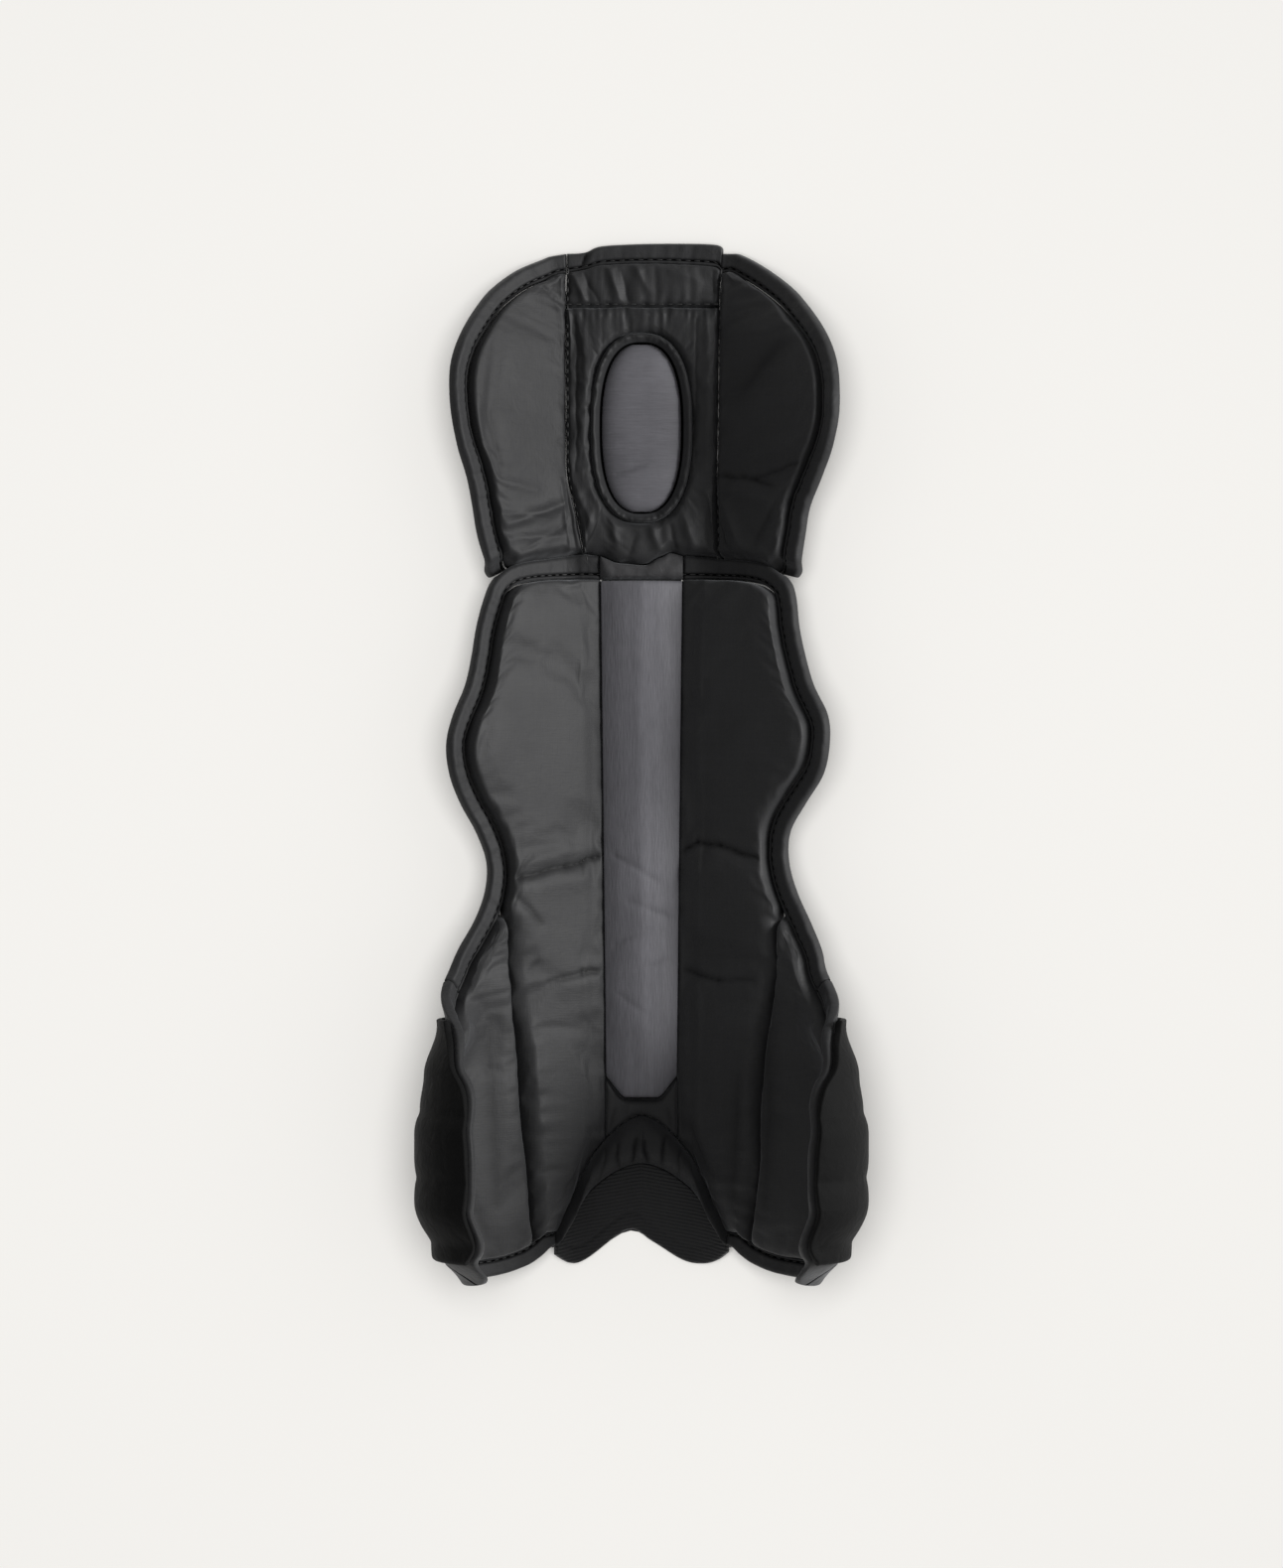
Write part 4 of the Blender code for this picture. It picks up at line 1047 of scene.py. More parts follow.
def cloth_material(name, part, warp=1.0, weft=1.0, roughness=0.6, sheen=0.3, bump=0.25, streaks=0.35,
                   crumple=0.25, ribs=0.0, rib_pitch=0.0014, gloss=0.32):
    """A woven cloth: uneven threads, slow colour changes, fine crumpling, a soft sheen and painted shade in
    seams, creases and leaned undersides.
    """
    made = bpy.data.materials.get(name)
    if made:
        return made
    colour = getattr(bpy.context.scene.guard_colours, part)
    made = bpy.data.materials.new(name)
    made.use_nodes = True
    tree = made.node_tree
    shader = tree.nodes["Principled BSDF"]
    cut = tree.nodes.new("ShaderNodeUVMap")
    cut.uv_map = "cut"
    weave = tree.nodes.new("ShaderNodeGroup")
    weave.node_tree = weave_group()
    tree.links.new(cut.outputs[0], weave.inputs["Cut"])
    weave.inputs["Warp"].default_value = warp
    weave.inputs["Weft"].default_value = weft

    shade = maths(tree, "ADD", maths(tree, "MULTIPLY", weave.outputs["Streaks"], streaks),
                  maths(tree, "MULTIPLY", weave.outputs["Mottle"], 0.25))
    level_in = tree.nodes.new("ShaderNodeMapRange")
    level_in.inputs["From Min"].default_value = 0.32 * (streaks + 0.25)
    level_in.inputs["From Max"].default_value = 0.68 * (streaks + 0.25)
    tree.links.new(shade, level_in.inputs["Value"])
    colours = tree.nodes.new("ShaderNodeMix")
    colours.data_type = "RGBA"
    colours.inputs["A"].default_value = (*(c * 0.80 for c in colour), 1.0)
    colours.inputs["B"].default_value = (*(c * 1.20 for c in colour), 1.0)
    tree.links.new(level_in.outputs[0], colours.inputs["Factor"])
    # Painted shade: where the shade attribute marks seams, creases and leaned undersides, the base colour
    # darkens to 15 %
    seam = tree.nodes.new("ShaderNodeAttribute")
    seam.attribute_name = "deep"
    shaded = tree.nodes.new("ShaderNodeMix")
    shaded.data_type = "RGBA"
    shaded.inputs["B"].default_value = (*(c * 0.15 for c in colour), 1.0)
    tree.links.new(colours.outputs["Result"], shaded.inputs["A"])
    tree.links.new(seam.outputs["Fac"], shaded.inputs["Factor"])
    tree.links.new(shaded.outputs["Result"], shader.inputs["Base Color"])

    rough = maths(tree, "ADD", maths(tree, "MULTIPLY", weave.outputs["Mottle"], 0.16), roughness - 0.08)
    tree.links.new(rough, shader.inputs["Roughness"])
    # Gloss and sheen fade out in the painted shade as well
    unshaded_share = maths(tree, "SUBTRACT", 1.0, seam.outputs["Fac"])
    tree.links.new(maths(tree, "MULTIPLY", unshaded_share, gloss), shader.inputs["Specular IOR Level"])
    tree.links.new(maths(tree, "MULTIPLY", unshaded_share, sheen), shader.inputs["Sheen Weight"])
    shader.inputs["Sheen Roughness"].default_value = 0.45
    shader.inputs["Sheen Tint"].default_value = (0.8, 0.82, 0.86, 1.0)

    def bumped(height, strength, distance, before=None):
        node = tree.nodes.new("ShaderNodeBump")
        node.inputs["Strength"].default_value = strength
        node.inputs["Distance"].default_value = distance
        tree.links.new(height, node.inputs["Height"])
        if before:
            tree.links.new(before, node.inputs["Normal"])
        return node.outputs[0]

    place = tree.nodes.new("ShaderNodeTexCoord")
    crumples = tree.nodes.new("ShaderNodeTexNoise")
    crumples.inputs["Scale"].default_value = 190.0
    crumples.inputs["Detail"].default_value = 3.0
    crumples.inputs["Distortion"].default_value = 0.6
    tree.links.new(place.outputs["Object"], crumples.inputs["Vector"])
    normal = bumped(crumples.outputs["Fac"], crumple, 0.0010)
    normal = bumped(weave.outputs["Height"], bump, 0.0003, normal)
    if ribs:
        split = tree.nodes.new("ShaderNodeSeparateXYZ")
        tree.links.new(cut.outputs[0], split.inputs[0])
        bent = maths(tree, "ADD", split.outputs["Y"],
                     maths(tree, "MULTIPLY", maths(tree, "ABSOLUTE", split.outputs["X"]), 0.18))
        wave = maths(tree, "SINE", maths(tree, "MULTIPLY", bent, 2 * math.pi / rib_pitch))
        normal = bumped(wave, ribs, 0.0003, normal)
    tree.links.new(normal, shader.inputs["Normal"])
    return made


def black_cloth():
    return cloth_material("guard_black_cloth", "pads", sheen=0.27, bump=0.35, crumple=0.15)


def knee_cloth():
    return cloth_material("guard_knee_cloth", "knee", sheen=0.17, bump=0.3, crumple=0.22)


def hem_cloth():
    return cloth_material("guard_hem_cloth", "hems", sheen=0.18, bump=0.3, roughness=0.64, crumple=0.4)


def rib_cloth():
    return cloth_material("guard_rib_cloth", "flap", sheen=0.2, ribs=0.5, bump=0.1, roughness=0.7)


# The covers' cloth is partly their own black and partly painted shade for the wings' shaded outer faces
def cover_cloth():
    return cloth_material("guard_cover_cloth", "covers", sheen=0.03, bump=0.4, roughness=0.75,
                          crumple=0.5, gloss=0.12)


def grey_cloth():
    return cloth_material("guard_grey_cloth", "strip", warp=1.0, weft=0.12, roughness=0.52, sheen=0.12,
                          bump=0.35, streaks=0.8, crumple=0.06)


def slub_cloth():
    return cloth_material("guard_slub_cloth", "strip", warp=0.15, weft=1.0, roughness=0.55, sheen=0.12,
                          bump=0.3, streaks=0.5, crumple=0.10)


def band_cloth():
    return cloth_material("guard_band_cloth", "band", sheen=0.3, crumple=0.5)


def thread_material():
    made = bpy.data.materials.get("guard_thread")
    if made:
        return made
    made = bpy.data.materials.new("guard_thread")
    colour = bpy.context.scene.guard_colours.thread
    made.use_nodes = True
    tree = made.node_tree
    shader = tree.nodes["Principled BSDF"]
    place = tree.nodes.new("ShaderNodeTexCoord")
    twist = tree.nodes.new("ShaderNodeTexNoise")
    twist.inputs["Scale"].default_value = 2600.0
    tree.links.new(place.outputs["Object"], twist.inputs["Vector"])
    ramp = tree.nodes.new("ShaderNodeMix")
    ramp.data_type = "RGBA"
    ramp.inputs["A"].default_value = (*(c * 0.6 for c in colour), 1.0)
    ramp.inputs["B"].default_value = (*(c * 1.8 for c in colour), 1.0)
    tree.links.new(twist.outputs["Fac"], ramp.inputs["Factor"])
    tree.links.new(ramp.outputs["Result"], shader.inputs["Base Color"])
    shader.inputs["Roughness"].default_value = 0.55
    return made


# Stitches


def stitch_group():
    """Short threads set along curves, with fixed small differences."""
    group = bpy.data.node_groups.get("guard_stitches")
    if group:
        return group
    group = bpy.data.node_groups.new("guard_stitches", "GeometryNodeTree")
    for socket, kind in (("Geometry", "NodeSocketGeometry"), ("Pitch", "NodeSocketFloat"),
                         ("Length", "NodeSocketFloat"), ("Thickness", "NodeSocketFloat"),
                         ("Seed", "NodeSocketInt"), ("Thread", "NodeSocketMaterial")):
        group.interface.new_socket(name=socket, in_out="INPUT", socket_type=kind)
    group.interface.new_socket(name="Geometry", in_out="OUTPUT", socket_type="NodeSocketGeometry")
    new, link = group.nodes.new, group.links.new
    start, end = new("NodeGroupInput"), new("NodeGroupOutput")
    resample = new("GeometryNodeResampleCurve")
    resample.mode = "LENGTH"
    link(start.outputs["Geometry"], resample.inputs["Curve"])
    link(start.outputs["Pitch"], resample.inputs["Length"])
    ball = new("GeometryNodeMeshUVSphere")
    ball.inputs["Segments"].default_value = 8
    ball.inputs["Rings"].default_value = 5
    ball.inputs["Radius"].default_value = 0.5
    tangent = new("GeometryNodeInputTangent")
    turn = new("FunctionNodeAlignRotationToVector")
    turn.axis = "Z"
    link(tangent.outputs[0], turn.inputs["Vector"])
    size = new("ShaderNodeCombineXYZ")
    link(start.outputs["Thickness"], size.inputs["X"])
    link(start.outputs["Thickness"], size.inputs["Y"])
    link(start.outputs["Length"], size.inputs["Z"])
    vary = new("FunctionNodeRandomValue")
    vary.data_type = "FLOAT"
    vary.inputs["Min"].default_value = 0.82
    vary.inputs["Max"].default_value = 1.1
    link(start.outputs["Seed"], vary.inputs["Seed"])
    scale = new("ShaderNodeVectorMath")
    scale.operation = "SCALE"
    link(size.outputs[0], scale.inputs[0])
    link(vary.outputs["Value"], scale.inputs["Scale"])
    place = new("GeometryNodeInstanceOnPoints")
    link(resample.outputs["Curve"], place.inputs["Points"])
    link(ball.outputs["Mesh"], place.inputs["Instance"])
    link(turn.outputs[0], place.inputs["Rotation"])
    link(scale.outputs[0], place.inputs["Scale"])
    real = new("GeometryNodeRealizeInstances")
    link(place.outputs[0], real.inputs[0])
    thread = new("GeometryNodeSetMaterial")
    link(real.outputs[0], thread.inputs["Geometry"])
    link(start.outputs["Thread"], thread.inputs["Material"])
    link(thread.outputs[0], end.inputs["Geometry"])
    return group


def stitched(name, runs):
    """One mesh of stitches along runs of points in space."""
    settings = bpy.context.scene.guard_stitch
    curve = bpy.data.curves.new(name, "CURVE")
    curve.dimensions = "3D"
    for run in runs:
        spline = curve.splines.new("POLY")
        spline.points.add(len(run) - 1)
        for point, place in zip(spline.points, run):
            point.co = (*place, 1.0)
    source = linked(name + "_path", curve)
    step = source.modifiers.new("stitches", "NODES")
    step.node_group = stitch_group()
    values = {"Pitch": settings.pitch, "Length": settings.length, "Thickness": settings.thickness,
              "Seed": settings.seed, "Thread": thread_material()}
    for item in step.node_group.interface.items_tree:
        if item.in_out == "INPUT" and item.name in values:
            step[item.identifier] = values[item.name]
    graph = bpy.context.evaluated_depsgraph_get()
    mesh = bpy.data.meshes.new_from_object(source.evaluated_get(graph), depsgraph=graph)
    mesh.name = name
    bpy.data.objects.remove(source)
    bpy.data.curves.remove(curve)
    made = linked(name, mesh)
    if not mesh.materials:
        mesh.materials.append(thread_material())
    mesh.shade_smooth()
    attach(made, "root")
    return made


def run_on(line, height, side=1.0, step=1.6):
    return [folded(side * across, along, height) for across, along in even(line, step)]


# Hems


def hem(name, outer, inner, side, seed, leans=HEM_LEANS, tuck=0.0):
    """A folded strip sewn down along its inner line, a little wavy as cloth is. Returns its stitches.

    Its last end goes on by the tuck, bent down to lie under a neighbour.
    """
    if tuck:
        parts = (0.35 * tuck, 0.7 * tuck, tuck)
        outer, inner = ([*line, *[(line[-1][0] - 0.95 * part, line[-1][1] - part) for part in parts]]
                        for line in (outer, inner))
    length = sum(math.dist(a, b) for a, b in zip(outer, outer[1:]))
    places = shares(max(8, round(length / HEM_GRID)))
    keys = [0.0]
    for a, b, c, d in zip(outer, outer[1:], inner, inner[1:]):
        keys.append(keys[-1] + math.dist(a, b) + math.dist(c, d))

    def sample(line):
        found, index = [], 0
        for place in places:
            target = place * keys[-1]
            while index < len(keys) - 2 and keys[index + 1] < target:
                index += 1
            part = (target - keys[index]) / (keys[index + 1] - keys[index])
            found.append(tuple(mix(s, e, part) for s, e in zip(line[index], line[index + 1])))
        return found

    net = strip(sample(outer), sample(inner), HEM_COLUMNS)
    top, low, run = [], [], []
    for i, row in enumerate(net):
        here = places[i] * length
        wave = 1.0 + 0.10 * noise.noise(Vector((here / 11.0, seed, 0.0)))
        wave += 0.10 * noise.noise(Vector((here / 4.2, seed, 5.0)))
        sunk = TUCK_DROP * ease((here - length + tuck + 4.0) / 8.0) if tuck else 0.0
        line, under = [], []
        for j, (share, less) in enumerate(zip(HEM_TOP_SHARES, HEM_LOW_SHARES)):
            pull = 0.11 * math.cos(2 * math.pi * here / STITCH_PITCH) * (1.0 if 5 < j < 11 else 0.25)
            curl = 0.5 * noise.noise(Vector((here / 16.0, seed, 9.0))) * (1.0 - HEM_COLUMNS[j])
            line.append(BINDING_THICKNESS * share * wave + pull + 0.5 * curl)
            under.append(BINDING_THICKNESS * less + max(0.0, 0.4 * curl))
        top.append([max(t, u + 0.9) - sunk for t, u in zip(line, under)])
        low.append([u - sunk for u in under])
        across, along = (mix(o, k, STITCH_SHARE) for o, k in zip(row[0], row[-1]))
        run.append(folded(side * across, along, BINDING_THICKNESS * STITCH_HEIGHT * wave + 0.20 - sunk))
    # The hem's seam columns get painted shade
    piece = sewn_piece(name, on_side(net, side), top, hem_cloth(), "black_binding", bottom=low,
                       leans=leans, deep=HEM_SEAM_COLUMNS)
    return run


# The knee's panels


KNEE_BESIDE_HEM = Border(6.0, 2.6, 0.35)
KNEE_SEWN = Border(SEAM_HEIGHT, 3.5, 0.7)
KNEE_GATHERED = Border(SEAM_HEIGHT, 3.0, 1.0)
KNEE_FOOT = Border(GROOVE_HEIGHT, 5.0, 0.4)


def knee_side(side_name, side, seed, step):
    """One wing of the knee with its hem: the piece, the hem's stitches and the places of its upper end."""
    outer, inner, seam = knee_lines(side_name)
    ends = [(side * line[0][0], line[0][1]) for line in (outer, inner)]
    stitches = hem(f"knee_binding_{side_name}", outer, inner, side, 20.0 + seed, (0, 1.0, 0.8, 0),
                   tuck=TUCK)
    shin_top = through(seen(SHIN_EDGE, side_name, SHIN_HALF, SHIN_LENGTH))
    foot = [(across, along + max(0.0, top_wave(side * across))) for across, along in shin_top
            if seam[-1][0] + 0.7 < across < inner[-1][0] - 5.0]
    foot = [seam[-1]] + foot + [inner[-1]]

    def at_shin(edge):
        return mix(1.5, 5.5, ease((abs(edge[0]) - 40.0) / 12.0))

    net = on_side(patch(inner[:2], foot, seam, inner[1:], step, edged(28)), side)
    top = cushioned(net, KNEE_THICKNESS, (KNEE_SEWN, KNEE_BESIDE_HEM, KNEE_BESIDE_HEM, KNEE_FOOT),
                    seed=seed + 11.0)
    piece = body(f"knee_wing_{side_name}", net, top, level(net, 0.0), leans=(1.0, -1.0, -1.0, at_shin))
    return piece, stitches, ends


def knee_top_panel(hem_foot, gather, left_seam, right_seam):
    """The panel between the gathers and the top hem."""
    left = [place for place in left_seam if place[1] > GATHER_ALONG + 0.7] + [gather[0]]
    right = [place for place in right_seam if place[1] > GATHER_ALONG + 0.7] + [gather[-1]]
    net = patch(hem_foot, gather, left, right, 0.9, shares(64))
    top = cushioned(net, KNEE_THICKNESS * 0.85, (KNEE_SEWN, KNEE_SEWN, KNEE_BESIDE_HEM, KNEE_GATHERED),
                    seed=14.0)
    return body("knee_top_panel", net, top, level(net, 0.0), leans=(-1.0, -1.0, -1.0, 1.0))


def knee_centre_panel(gather, left_seam, right_seam):
    """The panel round the window, with gathers below its upper seam."""
    over_shin = SHIN_LENGTH + 4.0
    right = [gather[-1]] + [place for place in right_seam if place[1] < GATHER_ALONG - 0.7]
    left = [place for place in left_seam if place[1] < GATHER_ALONG - 0.7][::-1] + [gather[0]]
    foot = [(across, along + top_wave(across)) for across, along in even([right[-1], left[0]], 1.6)]
    border = gather + even(right, 2.0)[1:] + foot[1:] + even(left, 2.0)[1:-1]
    net = []
    for place in border:
        angle = math.atan2((place[1] - WINDOW_CENTRE) / WINDOW_HALF_LENGTH, place[0] / WINDOW_HALF_WIDTH)
        opening = oval(angle, WINDOW_HALF_WIDTH, WINDOW_HALF_LENGTH)
        net.append([tuple(mix(o, i, share) for o, i in zip(place, opening)) for share in edged(24)])
    outside = (lambda edge: KNEE_FOOT if edge[1] < over_shin else KNEE_SEWN)
    heights = cushioned(net, KNEE_THICKNESS, (outside, Border(SEAM_HEIGHT + 0.6, 3.5, 0.5)), seed=17.0,
                        wrap=True)
    for row, line in zip(net, heights):
        for j, (across, along) in enumerate(row):
            below = GATHER_ALONG - along
            if below < GATHER_REACH:
                ridge = noise.noise(Vector((across / 2.4, below / 30.0, 3.0)))
                ridge += 0.5 * noise.noise(Vector((across / 1.5, below / 18.0, 8.0)))
                reach = 4.5 + 3.0 * noise.noise(Vector((across / 9.0, 4.0, 0.0)))
                line[j] += 2.3 * ridge * math.exp(-below / reach) * min(1.0, below / 0.8)
    leans = (lambda edge: 2.5 if edge[1] < over_shin else -1.0, 1.0)
    return body("knee_centre_panel", net, heights, level(net, 0.0), wrap=True, leans=leans)


# Operators: one for each kind of piece


class GUARD_OT_shin_pads(bpy.types.Operator):
    """Build the padded panels on both sides of the shin"""
    bl_idname = "guard.shin_pads"
    bl_label = "Shin pads"

    def execute(self, context):
        step = context.scene.guard_cloth.grid / MM
        beside_hem = Border(7.6, 2.4, 0.25)
        beside_spine = Border(4.5, 14.0, 0.0, soft=True)
        in_groove = Border(GROOVE_HEIGHT, 6.5, 2.4)
        yoke_foot = arch_along(SPINE_END_HALF / ARCH_HALF)
        pieces = []
        for seed, (side_name, side) in enumerate(SIDES):
            lines = shin_lines(side_name)
            shoulder = SHOULDER * LINE_STEPS
            net = patch(lines.inner[:shoulder + 1], lines.inner[lines.end:][::-1], inner_side(),
                        lines.inner[shoulder:lines.start] + lines.groove, step, edged(30))
            net = on_side(net, side)
            groove_top = lines.groove[1][1]
            borders = (beside_spine, lambda edge: in_groove if edge[1] < groove_top else beside_hem,
                       beside_hem, beside_hem)
            leans = (lambda edge: 1.3 if edge[1] > yoke_foot else -1.2, -1.0, -1.0, -1.0)
            top = cushioned(net, PAD_THICKNESS, borders, seed=seed + 1.0)
            pieces.append(body(f"shin_pad_{side_name}", net, top, level(net, 0.0), leans=leans))
        filled_pieces(pieces, black_cloth())
        return {"FINISHED"}


class GUARD_OT_ankle_wings(bpy.types.Operator):
    """Build the wings that curl round the ankle"""
    bl_idname = "guard.ankle_wings"
    bl_label = "Ankle wings"

    def execute(self, context):
        step = context.scene.guard_cloth.grid / MM
        borders = (Border(GROOVE_HEIGHT, 3.0, 0.3), Border(6.4, 3.0, 0.5),
                   Border(3.2, 6.0, 0.3), Border(5.0, 4.5, 0.5))
        pieces = []
        for seed, (side_name, side) in enumerate(SIDES):
            lines = shin_lines(side_name)
            groove = lines.groove[1:]
            edge = lines.inner[lines.start + 2:lines.tip + 1]
            net = patch([groove[0], edge[0]], lines.inner[lines.tip:lines.end + 1][::-1], groove, edge,
                        step, edged(34))
            net = on_side(net, side)
            top = cushioned(net, WING_THICKNESS, borders, seed=seed + 3.0)
            pieces.append(body(f"ankle_wing_{side_name}", net, top, level(net, 0.0), gap=2 * SEAM_GAP,
                               leans=(1.0, -1.0, 3.5, -1.0)))
        filled_pieces(pieces, black_cloth())
        return {"FINISHED"}


class GUARD_OT_wing_covers(bpy.types.Operator):
    """Build the outer panels on the backs of the wings, with their cross seams"""
    bl_idname = "guard.wing_covers"
    bl_label = "Wing covers"

    def execute(self, context):
        for seed, (side_name, side) in enumerate(SIDES):
            wing = through(in_cut(WING_EDGE, side_name, WING_REACH, SHIN_LENGTH))
            net, low = [], []
            for row in shares(64):
                along = mix(*COVER_ENDS, row) * SHIN_LENGTH
                edge = next((mix(a[0], b[0], (a[1] - along) / (a[1] - b[1]))
                             for a, b in zip(wing, wing[1:]) if a[1] >= along > b[1]), wing[0][0])
                start = WING_REACH * fold_at(along, "curl_start")
                net.append([(side * mix(start, edge - 1.0, share), along) for share in edged(26)])
                low.append([])
                for across, _ in net[-1]:
                    away = min(abs(along / SHIN_LENGTH - place) * SHIN_LENGTH for place in COVER_SEAMS)
                    swell = rise(away + 0.3, 9.0)
                    swell *= 0.5 + 0.5 * rise(min(along - net[0][0][1], 30.0) + 1.0, 5.0)
                    puckers = 0.35 * noise.noise(Vector((across / 3.0, away / 12.0, seed + 4.0)))
                    puckers *= math.exp(-away / 6.0)
                    thick = COVER_THICKNESS * mix(0.45, 1.15, swell) + puckers
                    low[-1].append(-COVER_GAP - max(0.7, thick))
            sewn_piece(f"wing_cover_{side_name}", net, level(net, -COVER_GAP), cover_cloth(),
                       "ribbed_fabric", pad=0.3, bottom=low, under_step=1)
        return {"FINISHED"}


class GUARD_OT_shin_hems(bpy.types.Operator):
    """Build the hems round the shin, the wings and the lower end, with their stitches"""
    bl_idname = "guard.shin_hems"
    bl_label = "Shin hems"

    def execute(self, context):
        runs = []
        for seed, (side_name, side) in enumerate(SIDES):
            lines = shin_lines(side_name)
            inner, corner, tip = lines.inner, lines.corner, lines.tip
            outer = [(across, along + top_wave(side * across) * max(0.0, along / SHIN_LENGTH - 0.97) / 0.03)
                     for across, along in lines.outer]
            over_knee = 0.975 * SHIN_LENGTH
            wing_top = inner[lines.start][1]

            def at_groove(edge):
                return mix(1.0, 3.2, max(0.0, 1.0 - abs(edge[1] - wing_top + 4.0) / 9.0))

            spans = (("shin_binding", 0, corner, (lambda edge: -2.0 if edge[1] > over_knee else 0.0,
                                                  at_groove, 1.0, 0.8)),
                     ("wing_binding", corner, tip, HEM_LEANS),
                     ("bottom_binding", tip, len(outer) - 1, HEM_LEANS))
            for name, first, last, leans in spans:
                runs.append(hem(f"{name}_{side_name}", outer[first:last + 1], inner[first:last + 1],
                                side, seed * 5.0 + first, leans))
        stitched("shin_hem_stitches", runs)
        return {"FINISHED"}


class GUARD_OT_centre_strip(bpy.types.Operator):
    """Build the domed grey strip, the band over its end and the yoke below it"""
    bl_idname = "guard.centre_strip"
    bl_label = "Centre strip"

    def execute(self, context):
        top_end = SHIN_LENGTH - BINDING_WIDTH
        columns = [2.0 * share - 1.0 for share in edged(26)]

        def spine_end(share):
            half = SPINE_CHAMFER_HALF / SPINE_END_HALF
            return SPINE_START - SPINE_CHAMFER * min(1.0, (1.0 - abs(share)) / (1.0 - half))

        def on_spine(row, share):
            along = mix(spine_end(share), top_end, row)
            across = share * spine_half(along)
            end = rise(min(along - spine_end(share), top_end - along) + 1.2, 5.0)
            height = mix(SPINE_THICKNESS, SPINE_EDGE_HEIGHT, abs(share) ** 1.9) * mix(0.72, 1.0, end)
            return across, along, height + 0.16 * wander(across, along / 2.5, 6.0, 3.0)

        def on_band(row, share):
            bulge = mix(0.62, 1.10, rise(min(row, 1.0 - row) * 8.0 + 0.2, 2.6))
            twist = max(0.0, abs(share) - 0.72) / 0.28
            across = share * SPINE_TOP_HALF
            height = BAND_THICKNESS * bulge * mix(1.0, 0.78, twist)
            height += 0.8 * noise.noise(Vector((across / 3.4, row * 1.2, 2.0)))
            height -= 1.3 * twist * math.exp(-((row - 0.5 - 0.4 * share) / 0.22) ** 2)
            return across, mix(top_end, SHIN_LENGTH + top_wave(across), row), max(2.0, height)

        def on_yoke(row, share):
            across = share * SPINE_END_HALF
            return across, mix(arch_along(across / ARCH_HALF), spine_end(share), row), 0.0

        net, heights = surface(shares(110), columns, on_spine)
        sewn_piece("shin_spine", net, heights, grey_cloth(), "grey_fabric", pad=0.8, gap=1.0,
                   leans=(-0.9, -0.9, -0.9, -0.9))
        net, heights = surface(shares(14), columns, on_band)
        band = sewn_piece("spine_top_band", net, heights, band_cloth(), "black_binding",
                          leans=(-1.0, -1.0, 1.2, -1.5))

        net, _ = surface(shares(22), columns, on_yoke)
        side = Border(4.0, 3.0, 0.2)
        foot = Border(4.0, 3.0, 0.5)
        top = Border(3.4, 3.0, 0.2)
        heights = cushioned(net, YOKE_THICKNESS, (side, side, foot, top), seed=8.0)
        sewn_piece("arch_yoke", net, heights, black_cloth(), "black_fabric", pad=0.3,
                   leans=(-1.2, -1.2, -1.2, 1.2))
        return {"FINISHED"}


class GUARD_OT_instep(bpy.types.Operator):
    """Build the padded roll over the instep and the ribbed flap inside it"""
    bl_idname = "guard.instep"
    bl_label = "Instep"

    def execute(self, context):
        def on_roll(turn, column):
            full = ROLL_THICKNESS * mix(1.0, 0.62, turn * turn)
            arc = math.sin(math.pi * min(1.0, max(0.0, column))) ** 0.62
            height = mix(0.34, 1.0, arc) * full
            height += 0.3 * noise.noise(Vector((turn * 12.0, column * 2.0, 6.0))) * arc
            return (mix(turn * ARCH_HALF, turn * LOWER_ARCH_HALF, column),
                    mix(arch_along(turn), arch_along(turn, lower=True), column), height)

        def on_flap(row, edge):
            across, along = edge
            upper = arch_along(across / LOWER_ARCH_HALF, lower=True)
            here = mix(along, max(upper, along + 3.0), row)
            height = FLAP_THICKNESS - 1.4 * math.exp(-abs(across + 3.0 + here * 0.05) / 2.6)
            height += 0.05 * math.sin(2 * math.pi * here / 1.5)
            hem_line = abs(here - along - 7.0)
            height -= 0.6 * math.exp(-(hem_line / 0.8) ** 2) * (1.0 if across < 0 else 0.4)
            height -= 1.1 * (1.0 - rise(here - along, 1.6))
            return across, here, max(0.9, height)

        turns = [2.0 * share - 1.0 for share in shares(110)]
        net, heights = surface(turns, edged(20), on_roll)
        sewn_piece("arch_roll", net, heights, knee_cloth(), "black_fabric", pad=0.8,
                   leans=(1.2, -1.2, 0, 0))

        lobes = through([(share * LOBE_HALF, foot * ARCH_FOOT) for share, foot in LOBES], steps=7)
        net, heights = surface(shares(48), lobes, on_flap)
        flap = sewn_piece("instep_flap", net, heights, rib_cloth(), "ribbed_fabric", leans=(0, 0, 0, 1.2))
        seam = [(turn * ARCH_HALF * 0.97, arch_along(turn) + 0.5) for turn in turns]
        stitched("arch_stitches", [run_on(seam, 5.6)])
        return {"FINISHED"}


